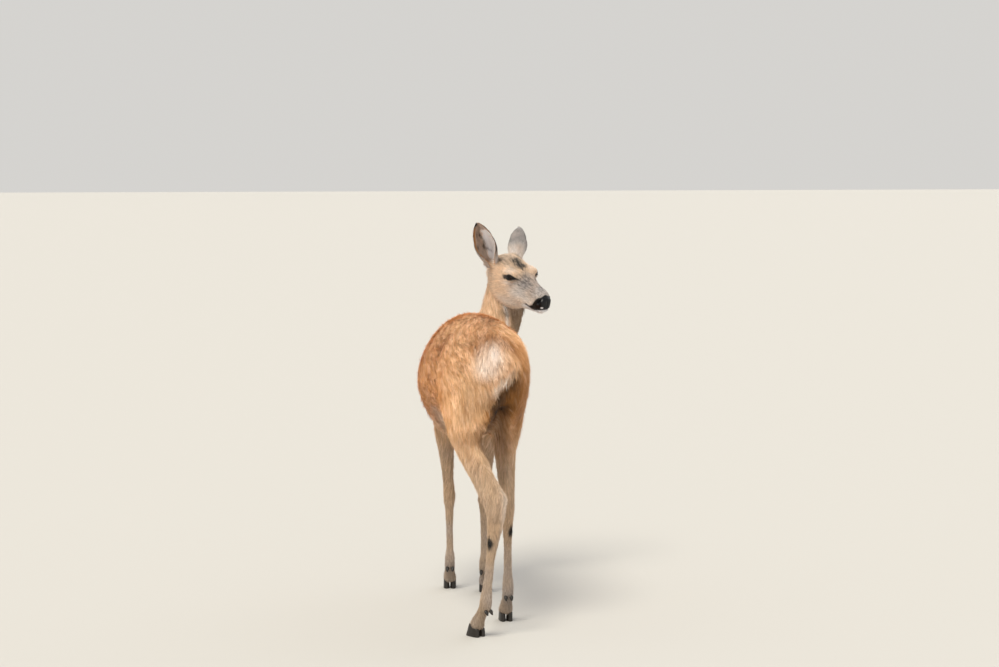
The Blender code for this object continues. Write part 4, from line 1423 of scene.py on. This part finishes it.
@dataclass
class BodyCoat:
    """The coat over the hide, patch by patch."""

    hide: Hide
    coat: Coat
    per_m2: float = 400_000
    fewest: int = 20  # tufts that are worth a patch
    head_extra: float = 1.35  # how much denser the short hair of the face stands
    cannon_extra: float = 0.5
    trunk_split: float = 0.235  # forward of the hips
    stray_share: float = 0.02
    lock_spread: float = 2.1  # how many hairs' lengths of locks part together
    sunk: float = 0.0004  # how deep the roots sit in the skin

    def build(self) -> None:
        """Grows every patch."""
        hide = self.hide
        mesh = hide.object.data
        self.triangles = read_triangles(mesh)
        self.unwrap = self._unwrapped(mesh)
        along, left, _ = hide.anatomy.body(hide.points)
        first = self.triangles[:, 0]
        cannons = hide.share(Flesh.HIND_CANNONS, Flesh.FORE_CANNONS)
        rich = 1 + self.head_extra * hide.share(Flesh.HEAD) + self.cannon_extra * cannons
        rich = (rich * (1 - hide.bald))[self.triangles].mean(axis=1)
        self.wanted = areas(hide.points[self.triangles]) * rich
        for group in GROUPS:
            member = hide.label[first] == GROUPS.index(group)
            if group is not Flesh.TRUNK:
                self._patch(f"coat_{group.name.lower()}", member)
                continue
            behind = along[first] < self.trunk_split
            for end, inside in (("rear", behind), ("front", ~behind)):
                for side in Side:
                    part = member & inside & (left[first] * side.value > 0)
                    self._patch(f"coat_trunk_{end}_{side.word}", part)

    def _unwrapped(self, mesh: bpy.types.Mesh) -> np.ndarray:
        """The skin's own unwrap.

        Args:
            mesh: The skin.

        Returns:
            A place in the unit square for each corner of each triangle.
        """
        obj = new_object("unwrap", mesh.copy())
        obj.data.uv_layers.new(name="Unwrap")
        bpy.context.view_layer.objects.active = obj
        obj.select_set(True)
        bpy.ops.object.mode_set(mode="EDIT")
        bpy.ops.mesh.select_all(action="SELECT")
        bpy.ops.uv.smart_project(angle_limit=math.radians(60), island_margin=0.002)
        bpy.ops.object.mode_set(mode="OBJECT")
        uv = read_rows(obj.data.uv_layers["Unwrap"].data, "uv", 2, float)
        obj.data.calc_loop_triangles()
        made = uv[read_rows(obj.data.loop_triangles, "loops", 3, np.int32)]
        bpy.data.objects.remove(obj)
        return made

    def _patch(self, name: str, member: np.ndarray) -> None:
        """Scatters roots over some of the skin, and grows them.

        Args:
            name: The patch's name.
            member: Which of the skin's triangles it covers.
        """
        hide, coat, random = self.hide, self.coat, self.coat.random
        weight = self.wanted * member
        count = min(coat.most, int(self.per_m2 * weight.sum()))
        if count < self.fewest:
            return
        scatter = Scatter(self.triangles, weight, count, random)
        at = scatter.read
        place, lie, up = at(hide.points), unit(at(hide.lie)), unit(at(hide.normals))
        mean = float(at(hide.length).mean())
        tone, bend, aside, down = coat.locks(place, lie, up, mean)
        broad_tone, broad_bend, broad_aside, _ = coat.locks(place, lie, up, mean * self.lock_spread)
        aside, down = np.clip(aside, -1.2, 1.2), np.clip(down, -1.2, 1.2)
        length = at(hide.length) * (0.85 + 0.30 * random.random(count)) * (1 + 0.10 * bend)
        stray = random.random(count) < self.stray_share
        lift = at(hide.lift) * (0.65 + 0.7 * random.random(count)) * (1 + 0.18 * tone) + 0.14 * stray
        # The tips of a lock draw together, each lock lies a little its own way, and broader ones part.
        turn = -0.15 * aside + 0.12 * bend + 0.20 * broad_bend - 0.06 * np.clip(broad_aside, -1.2, 1.2)
        lean = np.stack([np.zeros(count), -lift, turn], axis=1)
        # Each lock is painted lighter down its middle and towards its tips, and darker at its edges and
        # roots: painted highlight and shade over each lock's own random tone.
        lock_tone_and_shading = 0.34 * tone + 0.66 * broad_tone + 0.36 * (0.5 - np.abs(aside)) + 0.20 * down
        lock_tone_and_shading = lock_tone_and_shading * (0.55 + 0.45 * step(0.008, 0.015, length))
        facts = {key: at(values) for key, values in hide.masks.items()}
        # On the muzzle and the forehead single dark locks stand among the grey ones.
        grizzle = 0.62 * at(hide.grizzle) * step(0.30, 0.75, -tone)
        # In the long coat, hair made lighter by its tone and painted shading is paler, and hair made darker
        # is redder.
        long = step(0.010, 0.018, length)
        facts["dark"] = np.clip(facts["dark"] + grizzle, 0, 1)
        facts["pale"] = np.clip(facts["pale"] + 0.20 * np.maximum(lock_tone_and_shading, 0) * long, 0, 1)
        facts["rust"] = np.clip(facts["rust"] + 0.60 * np.maximum(-lock_tone_and_shading, 0) * long, 0, 1)
        uv = scatter.blend(self.unwrap[scatter.chosen])
        facts.update(
            lie=lie,
            up=up,
            lean=lean,
            hair=length * (1 + 0.2 * stray),
            fine=np.clip(0.34 + 0.66 * length / 0.022, 0.4, 1.3),
            strand=random.random(count),
            tone=lock_tone_and_shading,
            unwrap=np.concatenate([uv, np.zeros((count, 1))], axis=1),
        )
        coat.grow(name, Roots(place - up * self.sunk, facts))


# ---- eyes, ears and hooves


def lofted(name: str, rings: np.ndarray, closed_ends: bool = True) -> bpy.types.Mesh:
    """A tube through rings of equally many points, capped with a fan at each end.

    Args:
        name: The mesh's name.
        rings: Points, as rings by points by three.
        closed_ends: Whether the ends are capped.

    Returns:
        The mesh, its faces outwards.
    """
    count, around = rings.shape[:2]
    points = list(rings.reshape(-1, 3))
    faces = []
    for i in range(count - 1):
        for k in range(around):
            n = (k + 1) % around
            faces.append((i * around + k, i * around + n, (i + 1) * around + n, (i + 1) * around + k))
    if closed_ends:
        for ring in (0, count - 1):
            middle = len(points)
            points.append(rings[ring].mean(axis=0))
            for k in range(around):
                faces.append((ring * around + k, ring * around + (k + 1) % around, middle))
    mesh = mesh_of(name, np.array(points), faces)
    face_outwards(mesh, merge=1e-6)
    return mesh


@dataclass
class Eye:
    """One eyeball with its wet lid rims."""

    hide: Hide
    side: Side
    iris: float = 0.62  # these three are shares of the eyeball's radius
    pupil_long: float = 0.36
    pupil_tall: float = 0.20
    cornea_rise: float = 0.045  # how much further out the cornea stands, and its reach in radians
    cornea_reach: float = 0.62
    rim: float = 0.0010  # half the thickness of the lid's roll

    def build(self, ball: bpy.types.Material, rim: bpy.types.Material) -> None:
        """Makes the eyeball and the rims of its lids.

        Args:
            ball: The eyeball's material.
            rim: The rims' material.
        """
        centre, gaze, front, upper = self.hide.eye_frame(self.side)
        radius = self.hide.eye_radius
        turn = np.linspace(0, 2 * math.pi, 48, endpoint=False)[:, None]
        rings = []
        for angle in np.linspace(0.02, math.pi - 0.02, 40):
            # The cornea bulges over the middle of the eyeball.
            far = radius * (1 + self.cornea_rise * math.exp(-((angle / self.cornea_reach) ** 2)))
            ray = gaze * math.cos(angle) + (front * np.cos(turn) + upper * np.sin(turn)) * math.sin(angle)
            rings.append(centre + ray * far)
        mesh = lofted(f"eyeball_{self.side.word}", np.array(rings))
        ray = unit(read_points(mesh) - centre)
        across, rise, ahead = ray @ front, ray @ upper, ray @ gaze > 0
        inner = np.hypot(across / self.iris, rise / self.iris)
        pupil = np.hypot(across / self.pupil_long, rise / self.pupil_tall)
        write_attribute(mesh, "iris", step(1.10, 0.95, inner) * ahead)
        write_attribute(mesh, "pupil", step(1.08, 0.92, pupil) * ahead)
        mesh.materials.append(ball)
        eyeball = new_object(f"eyeball_{self.side.word}", mesh)
        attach(eyeball, ROOT)
        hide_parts(f"eye_{self.side.word}")
        log.info("%s: %d faces", eyeball.name, len(mesh.polygons))
        rims = new_object(f"lid_rim_{self.side.word}", self._rim_mesh())
        rims.data.materials.append(rim)
        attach(rims, ROOT)
        log.info("%s: %d faces", rims.name, len(rims.data.polygons))

    def _rim_mesh(self) -> bpy.types.Mesh:
        """A soft roll of skin round the eye's opening.

        Returns:
            The mesh.
        """
        hide = self.hide
        centre, gaze, front, upper = hide.eye_frame(self.side)
        loop = []
        for turn in np.linspace(0, 2 * math.pi, 72, endpoint=False):
            across = math.cos(turn)
            tall = hide.eye_up if math.sin(turn) > 0 else hide.eye_down
            pinch = 1 - hide.pinch * across**2
            rise = math.sin(turn) * tall * pinch - hide.eye_slant * max(across, 0)
            ray = gaze + front * math.tan(across * hide.eye_long) + upper * math.tan(rise)
            loop.append(centre + ray / np.linalg.norm(ray) * (hide.eye_radius + 0.0002))
        loop = np.array(loop)
        line = unit(np.roll(loop, -1, axis=0) - np.roll(loop, 1, axis=0))
        away = unit(loop - centre)
        side = np.cross(line, away)
        turn = np.linspace(0, 2 * math.pi, 8, endpoint=False)[:, None]
        rings = [
            loop[k] + (away[k] * np.cos(turn) * 0.9 + side[k] * np.sin(turn)) * self.rim
            for k in (*range(len(loop)), 0)
        ]
        return lofted(f"lid_rim_{self.side.word}", np.array(rings), closed_ends=False)


@dataclass(frozen=True)
class EyeFinish:
    """The wet eye: a near-black brown iris with a wide dark pupil under a clear glossy cornea."""

    dark_fibre: str = "0d0705"
    light_fibre: str = "1d100a"
    edge: str = "080505"
    pupil: str = "020304"
    fibre_mm: float = 0.4  # the distance between the fibres of the iris
    roughness: float = 0.09
    specular: float = 0.18
    coat: float = 0.06
    coat_roughness: float = 0.02

    def material(self) -> bpy.types.Material:
        """The finish as a material.

        Returns:
            The material.
        """
        values = {
            "Roughness": self.roughness,
            "Specular IOR Level": self.specular,
            "Coat Weight": self.coat,
            "Coat Roughness": self.coat_roughness,
        }
        made, tree, shader = new_material("wet_brown_eye", values)
        place = add_node(tree, "ShaderNodeTexCoord").outputs["Object"]
        grain = {"Vector": place, "Scale": per_metre(self.fibre_mm)}
        fibres = add_node(tree, "ShaderNodeTexNoise", grain)
        iris = add_node(tree, "ShaderNodeAttribute", attribute_name="iris")
        pupil = add_node(tree, "ShaderNodeAttribute", attribute_name="pupil")
        fibre = {"Factor": fibres.outputs["Fac"], "A": linear(self.dark_fibre), "B": linear(self.light_fibre)}
        colour = add_node(tree, "ShaderNodeMix", fibre, data_type="RGBA")
        edged = {"Factor": iris.outputs["Fac"], "A": linear(self.edge), "B": colour}
        colour = add_node(tree, "ShaderNodeMix", edged, data_type="RGBA")
        pupilled = {"Factor": pupil.outputs["Fac"], "A": colour, "B": linear(self.pupil)}
        colour = add_node(tree, "ShaderNodeMix", pupilled, data_type="RGBA")
        tree.links.new(next(s for s in colour.outputs if s.enabled), shader.inputs["Base Color"])
        return made


@dataclass
class Ear:
    """A large oval ear: a thin shell, bare of seams, with hair inside and out."""

    anatomy: Anatomy
    side: Side
    root: tuple  # its place, ahead, left and crownward of the back of the skull
    axis: tuple  # its directions on the same axes: to its tip, and out of its opening
    opening: tuple
    length: float
    width: float = 0.053
    wall: float = 0.0016
    inset: float = 0.0012  # the room that the hair takes
    rows: int = 44
    columns: int = 37
    tufts: int = 17_000
    inner_hair: float = 0.019
    outer_hair: float = 0.0065

    def _frame(self) -> tuple[np.ndarray, np.ndarray, np.ndarray, np.ndarray]:
        """How the ear is held.

        Returns:
            Its root, and its directions along, out of its opening and across.
        """
        axes = self.anatomy.axes
        root = self.anatomy.head_point(*self.root)
        axis = unit(np.array(self.axis) @ axes)
        opening = np.array(self.opening) @ axes
        opening = unit(opening - axis * (opening @ axis))
        return root, axis, opening, np.cross(axis, opening)

    @staticmethod
    def half_width(t: np.ndarray) -> np.ndarray:
        """The ear's outline.

        Args:
            t: How far along the ear, from 0 at its root to 1 at its tip.

        Returns:
            Half its width there, as a share of the widest.
        """
        known = (0.0, 0.12, 0.30, 0.48, 0.66, 0.80, 0.92, 1.0)
        share = (0.66, 0.78, 0.95, 1.0, 0.87, 0.66, 0.43, 0.17)
        return np.interp(t, known, share)

    def _shell(self, inside: bool) -> np.ndarray:
        """One side of the shell.

        Args:
            inside: Whether it is the inner side.

        Returns:
            A grid of points, as rows by columns by three.
        """
        root, axis, opening, across = self._frame()
        t = np.linspace(-0.06, 0.985, self.rows)
        smooth = np.clip(t, 0, 1)
        half = self.width / 2 * self.half_width(smooth)
        for _ in range(3):
            half[1:-1] = (half[:-2] + 2 * half[1:-1] + half[2:]) / 4
        half = half - self.inset
        curl = np.radians(155 - 95 * step(0.0, 1.0, smooth * 1.2))
        radius = half / np.where(curl < math.pi / 2, np.sin(curl), 1.0)
        base = 1 - step(0.0, 0.55, smooth)
        spine = half * (base + 0.45 * (1 - base)) + 0.005 * np.sin(math.pi * smooth)
        centre = root + axis * (self.length * t)[:, None] - opening * spine[:, None]
        v = np.linspace(-1, 1, self.columns)
        turn = v[None, :] * curl[:, None]
        wall = self.wall * (1 - 0.45 * smooth)[:, None] * (1 - 0.75 * v**4)[None, :]
        reach = radius[:, None] - (wall if inside else 0)
        # Soft folds run up the inside.
        if inside:
            reach = reach + 0.0007 * np.sin(v * 9)[None, :] * (1 - smooth)[:, None]
        return (
            centre[:, None]
            + across * (reach * np.sin(turn))[..., None]
            + opening * (radius[:, None] - reach * np.cos(turn))[..., None]
        )

    def build(self, skin: bpy.types.Material, coat: Coat) -> None:
        """Makes the shell and its hair.

        Args:
            skin: The finish of the shell.
            coat: What grows the hair.
        """
        rows, columns = self.rows, self.columns
        points = np.concatenate([self._shell(inner).reshape(-1, 3) for inner in (False, True)])
        faces = []
        size = rows * columns

        def at(shell: int, i: int, j: int) -> int:
            """The number of a grid point."""
            return shell * size + i * columns + j

        for i in range(rows - 1):
            for j in range(columns - 1):
                faces.append((at(0, i, j), at(0, i, j + 1), at(0, i + 1, j + 1), at(0, i + 1, j)))
                faces.append((at(1, i, j + 1), at(1, i, j), at(1, i + 1, j), at(1, i + 1, j + 1)))
            for j in (0, columns - 1):
                faces.append((at(0, i, j), at(0, i + 1, j), at(1, i + 1, j), at(1, i, j)))
        for i in (0, rows - 1):
            for j in range(columns - 1):
                faces.append((at(0, i, j), at(0, i, j + 1), at(1, i, j + 1), at(1, i, j)))
        mesh = mesh_of(f"ear_shell_{self.side.word}", points, faces)
        face_outwards(mesh)
        mesh.shade_smooth()
        t = np.tile(np.repeat(np.linspace(0, 1, rows), columns), 2)
        v = np.tile(np.tile(np.linspace(-1, 1, columns), rows), 2)
        inside = np.repeat([0.0, 1.0], size)
        masks = self._masks(t, v, inside)
        for name, values in masks.items():
            write_attribute(mesh, name, values)
        mesh.materials.append(skin)
        shell = new_object(f"ear_shell_{self.side.word}", mesh)
        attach(shell, ROOT)
        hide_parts(f"ear_{self.side.word}")
        log.info("%s: %d faces", shell.name, len(mesh.polygons))
        self._hair(mesh, t, v, inside, masks, coat)

    def _masks(self, t: np.ndarray, v: np.ndarray, inside: np.ndarray) -> dict:
        """The ear's markings.

        Within, the front half is white, the rear half browner with dark streaks, and the rear rim ochre.
        Behind, it is grey with a dark front edge.

        Args:
            t: How far along the ear each vertex lies, from 0 to 1.
            v: How far across it, from -1 to 1.
            inside: 1 on the inner side.

        Returns:
            The mask of each marking.
        """
        front = -self.side.value * v
        cloud = np.array([noise.noise(Vector((a * 2.4, b * 5.5, 3.0))) for a, b in zip(v, t)])
        rear_rim = step(-0.66, -0.86, front)
        rim = np.maximum(rear_rim, step(0.82, 0.97, front))
        middle = -0.12 + 0.10 * np.sin(t * 17) + 0.24 * step(0.42, 0.10, t)
        streak = bump(front - middle, 0.0, 0.075) * step(0.08, 0.16, t) * step(0.90, 0.78, t)
        streak = streak * (0.72 + 0.22 * np.sin(t * 23 + 0.6) + 0.16 * np.sin(t * 61))
        second = bump(front, middle - 0.28, 0.06) * bump(t, 0.66, 0.12)
        second = second + bump(front, -0.60, 0.10) * bump(t, 0.36, 0.06)
        tip = step(0.84, 0.97, t)
        high = step(0.62, 0.80, t + 0.25 * cloud)
        white = step(-0.14, 0.06, front + 0.25 * cloud) * step(0.99, 0.90, front) * (1 - 0.85 * high)
        brown = np.maximum(step(0.02, -0.30, front + 0.25 * cloud), 0.8 * high)
        dark = 0.95 * streak + 0.8 * second + 0.9 * tip * step(0.2, -0.3, front) + 0.22 * brown
        within = {
            "rust": brown * (0.50 + 0.45 * t) + 0.25 * rim,
            "fawn": 0.25 * brown,
            "grey": 0.22 * (1 - rim) * (1 - white),
            "white": 0.95 * white * (1 - 0.4 * tip) + 0.25 * (1 - rim) * (1 - white),
            "pale": 0.20 * (1 - rim) * (1 - 0.4 * tip),
            "dark": np.clip(dark, 0, 1),
        }
        edge = step(0.70, 0.92, front) * step(0.15, 0.40, t)
        dark = 0.10 + 0.60 * edge + 0.55 * rear_rim * step(0.5, 0.8, t)
        behind = {
            "rust": 0.0,
            "fawn": 0.30 * step(0.45, 0.0, t),
            "grey": 0.50 + 0.50 * step(-0.05, 0.45, t),
            "white": 0.22 + 0.30 * cloud + 0.4 * tip * (1 - edge) + 0.15 * step(0.4, 0.0, t),
            "pale": 0.10,
            "dark": dark + 0.40 * step(0.1, 0.5, t) * (1 + cloud),
        }
        inner = inside > 0.5
        return {name: np.clip(np.where(inner, within[name], behind[name]), 0, 1) for name in within}

    def _hair(
        self,
        mesh: bpy.types.Mesh,
        t: np.ndarray,
        v: np.ndarray,
        inside: np.ndarray,
        masks: dict,
        coat: Coat,
    ) -> None:
        """Short hair behind the ear, and long soft hair within it that reaches from the rim inwards.

        Args:
            mesh: The shell.
            t: How far along the ear each vertex lies, from 0 to 1.
            v: How far across it, from -1 to 1.
            inside: 1 on the inner side.
            masks: The shell's markings.
            coat: What grows the hair.
        """
        _, axis, _, across = self._frame()
        random, count = coat.random, self.tufts
        points, triangles = read_points(mesh), read_triangles(mesh)
        scatter = Scatter(triangles, areas(points[triangles]), count, random)
        read = scatter.read
        within = read(inside) > 0.5
        high, wide = read(t), read(v)
        up = unit(read(read_normals(mesh)))
        way = axis + across * (0.30 * np.where(within, -wide, wide))[:, None]
        lie = unit(way - up * dot(way, up)[:, None])
        edge = step(0.75, 1.0, np.abs(wide))
        inner = self.inner_hair * (1 - 0.50 * high) * (1 - 0.6 * edge)
        length = np.where(within, inner, self.outer_hair + 0.004 * (1 - high))
        length = length * (0.8 + 0.4 * random.random(count)) * (1 - 0.75 * step(0.80, 1.0, high))
        lift = np.where(within, 0.24, 0.15) * (0.4 + 1.1 * random.random(count))
        turn = 0.25 * (2 * random.random(count) - 1)
        facts = {key: read(values) for key, values in masks.items()}
        white = within * facts["white"]
        flat = [0.25 + 0.22 * wide + 0.5 * within, 0.05 + 0.9 * high, np.zeros(count)]
        strand, tone = random.random(count), 2 * random.random(count) - 1
        facts.update(
            lie=lie,
            up=up,
            lean=np.stack([np.zeros(count), -lift, turn], axis=1),
            hair=length,
            fine=np.where(within, 0.62, 0.52),
            # Painted light: the hair within the ear, its white hair most, is made brighter, as if light fell
            # into the hollow.
            strand=np.maximum(strand, 0.45 * white),
            tone=tone * (1 - 0.2 * white) + 0.3 * within + 0.62 * white,
            unwrap=np.stack(flat, axis=1),
        )
        coat.grow(f"ear_hair_{self.side.word}", Roots(read(points) - up * 0.0003, facts))


@dataclass
class Foot:
    """The horn of one foot: two claws and two dewclaws."""

    end: End
    side: Side
    skin: BVHTree
    sunk: float = 0.0015  # how far the dewclaws sit in the skin
    worn: float = 0.0016  # the width of the claws' worn edges
    ring_apart: float = 0.0021  # rings of growth, about two millimetres apart
    ring_rise: float = 0.00016

    def build(self, horn: bpy.types.Material) -> None:
        """Makes the four pieces of horn, each in its solid's place.

        Args:
            horn: Their material.
        """
        for claw in Side:
            place = f"{self.end.value}_{self.side.word}_{claw.word}"
            self._claw(f"hoof_{place}", horn)
            self._dewclaw(f"dewclaw_{place}", horn)

    @staticmethod
    def _piece(name: str, bm: bmesh.types.BMesh) -> bpy.types.Object:
        """A piece of horn before it is rounded.

        Args:
            name: The solid's name.
            bm: Its shape, which is freed.

        Returns:
            The piece.
        """
        mesh = bpy.data.meshes.new(name)
        bm.to_mesh(mesh)
        bm.free()
        return new_object(f"horn_{name}", mesh)

    @staticmethod
    def _dress(piece: bpy.types.Object, name: str, horn: bpy.types.Material) -> None:
        """Finishes a piece of horn, which stands for its solid.

        Args:
            piece: The piece.
            name: The solid's name.
            horn: The material.
        """
        piece.data.shade_smooth()
        piece.data.materials.clear()
        piece.data.materials.append(horn)
        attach(piece, ROOT)
        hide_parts(name)
        log.info("%s: %d faces", piece.name, len(piece.data.polygons))

    def _claw(self, name: str, horn: bpy.types.Material) -> None:
        """One claw: the solid's own outline, rounded, with the growth rings of horn.

        Args:
            name: The solid's name.
            horn: The material.
        """
        bm = merged_solid(name)
        flat, any_shape = math.radians(1), math.radians(180)
        bmesh.ops.join_triangles(
            bm, faces=bm.faces, angle_face_threshold=flat, angle_shape_threshold=any_shape
        )
        piece = self._piece(name, bm)
        bevel = piece.modifiers.new("Worn edges", "BEVEL")
        bevel.width = self.worn
        bevel.segments = 3
        bevel.limit_method = "ANGLE"
        bevel.angle_limit = math.radians(50)
        fine = piece.modifiers.new("Fine", "SUBSURF")
        fine.subdivision_type = "SIMPLE"
        fine.levels = fine.render_levels = 2
        round_off = piece.modifiers.new("Round", "SMOOTH")
        round_off.factor = 0.5
        round_off.iterations = 4
        settle(piece)
        points, normals = read_points(piece.data), read_normals(piece.data)
        height = points[:, 2]
        low = height.min()
        # The rings run level round the wall and fade at the sole.
        rings = self.ring_rise * np.sin(2 * math.pi * height / self.ring_apart)
        rings = rings * step(low + 0.003, low + 0.006, height)
        wall = 1 - np.abs(normals[:, 2])
        points = points + normals * (rings * wall)[:, None]
        points[:, 2] = np.maximum(points[:, 2], 0.0)
        write_points(piece.data, points)
        self._dress(piece, name, horn)

    def _dewclaw(self, name: str, horn: bpy.types.Material) -> None:
        """One dewclaw, the solid's shape rounded off and set a little way into the skin.

        Args:
            name: The solid's name.
            horn: The material.
        """
        bm = merged_solid(name)
        foot, _, _, gap = min((self.skin.find_nearest(v.co) for v in bm.verts), key=lambda hit: hit[3])
        middle = sum((v.co for v in bm.verts), Vector()) / len(bm.verts)
        towards = (foot - middle).normalized()
        bmesh.ops.translate(bm, verts=bm.verts, vec=towards * (gap + self.sunk))
        piece = self._piece(name, bm)
        fine = piece.modifiers.new("Round", "SUBSURF")
        fine.levels = fine.render_levels = 2
        settle(piece)
        self._dress(piece, name, horn)


# ---- the room


@dataclass(frozen=True)
class FloorFinish:
    """Rolled matt emulsion paint, which scatters the light evenly: no gloss and no grain to see."""

    colour: str = "c3c1bd"
    roughness: float = 0.9

    def material(self) -> bpy.types.Material:
        """The finish as a material."""
        values = {"Base Color": linear(self.colour), "Roughness": self.roughness}
        return new_material("matt_emulsion_paint", values)[0]


@dataclass
class Studio:
    """A pale floor, soft light and the camera."""

    anatomy: Anatomy
    camera_from_hips: tuple = (0.7063, 5.1619, 1.10)
    target_from_hips: tuple = (0.0104, 0.2106, 0.6771)
    lens: float = 85.0
    sensor: float = 36.0
    floor_half: float = 40.0
    sky: str = "f2f0ec"
    sky_strength: float = 0.75

    def build(self) -> None:
        """Sets the room up."""
        scene = bpy.context.scene
        scene.view_settings.view_transform = "Standard"
        hips = np.array([self.anatomy.hips[0], self.anatomy.hips[1], 0.0])
        place = Vector(hips + np.array(self.camera_from_hips))
        target = Vector(hips + np.array(self.target_from_hips))
        camera = bpy.data.objects.new("camera", bpy.data.cameras.new("camera"))
        scene.collection.objects.link(camera)
        camera.data.lens = self.lens
        camera.data.sensor_width = self.sensor
        camera.location = place
        camera.rotation_euler = (target - place).to_track_quat("-Z", "Y").to_euler()
        scene.camera = camera
        self._floor()
        self._light("key", (0.75, 1.3, 2.2), 2.65, 25.0, "fff8e8")
        self._light("fill", (-1.2, -1.4, 1.5), 0.6, 60.0, "f4f7ff")
        self._light("low", (0.3, 2.0, 0.35), 0.7, 60.0, "ffffff")
        world = bpy.data.worlds.new("soft_sky")
        scene.world = world
        world.use_nodes = True
        background = world.node_tree.nodes["Background"]
        background.inputs["Color"].default_value = linear(self.sky)
        background.inputs["Strength"].default_value = self.sky_strength

    def _floor(self) -> None:
        """A plain pale floor."""
        half = self.floor_half
        points = np.array([(-half, -half, 0), (half, -half, 0), (half, half, 0), (-half, half, 0)])
        floor = new_object("floor", mesh_of("floor", points, [(0, 1, 2, 3)], smooth=False))
        floor.data.materials.append(FloorFinish().material())

    def _light(self, name: str, towards: tuple, strength: float, spread: float, colour: str) -> None:
        """Soft light from one side, the same all over the floor.

        Args:
            name: The lamp's name.
            towards: The direction of the lamp, seen from her.
            strength: Its strength.
            spread: How wide it looks, in degrees.
            colour: Its colour.
        """
        lamp = bpy.data.lights.new(name, "SUN")
        lamp.energy = strength
        lamp.angle = math.radians(spread)
        lamp.color = linear(colour)[:3]
        obj = bpy.data.objects.new(name, lamp)
        bpy.context.scene.collection.objects.link(obj)
        obj.location = Vector(towards)
        obj.rotation_euler = (-Vector(towards)).to_track_quat("-Z", "Y").to_euler()


# ---- all of it


def main() -> None:
    """Builds the doe, piece by piece."""
    logging.basicConfig(level=logging.INFO, format="%(name)s: %(message)s")
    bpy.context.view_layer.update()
    anatomy = Anatomy()
    hide = Hide(anatomy)
    hide.build()
    log.info("skin: %d vertices", len(hide.points))
    coat = Coat(HairFinish().material(Cover.HAIR))
    BodyCoat(hide, coat).build()
    # The moist skin of the lids: near black, with a soft line of light along it.
    lid = BareFinish(
        name="moist_lid_skin",
        colour="0b0908",
        other="13100e",
        roughness=0.45,
        specular=0.3,
        grain_mm=0.6,
        rise=0.0001,
        coat=0.1,
    )
    ball, rim = EyeFinish().material(), lid.material()
    for side in Side:
        Eye(hide, side).build(ball, rim)
    left = Ear(
        anatomy,
        Side.LEFT,
        root=(0.031, 0.0345, 0.0370),
        axis=(-0.66, 0.60, 0.45),
        opening=(-0.20, 0.50, -0.84),
        length=0.104,
        width=0.047,
    )
    right = Ear(
        anatomy,
        Side.RIGHT,
        root=(0.027, -0.0385, 0.0370),
        axis=(-0.12, -0.43, 0.895),
        opening=(0.84, -0.52, -0.14),
        length=0.116,
    )
    for ear in (left, right):
        ear.build(hide.object.data.materials[0], coat)
    # Hoof horn, worn by the ground: dark grey-brown and satin, with a fine grain.
    horn = BareFinish(
        name="hoof_horn",
        colour="15120f",
        other="2a241e",
        roughness=0.42,
        specular=0.45,
        grain_mm=1.1,
        rise=0.00012,
    ).material()
    skin = BVHTree.FromPolygons(hide.points.tolist(), read_triangles(hide.object.data).tolist())
    for end in End:
        for side in Side:
            Foot(end, side, skin).build(horn)
    bpy.data.objects.remove(coat.tuft)
    Studio(anatomy).build()


if __name__ == "__main__":
    main()
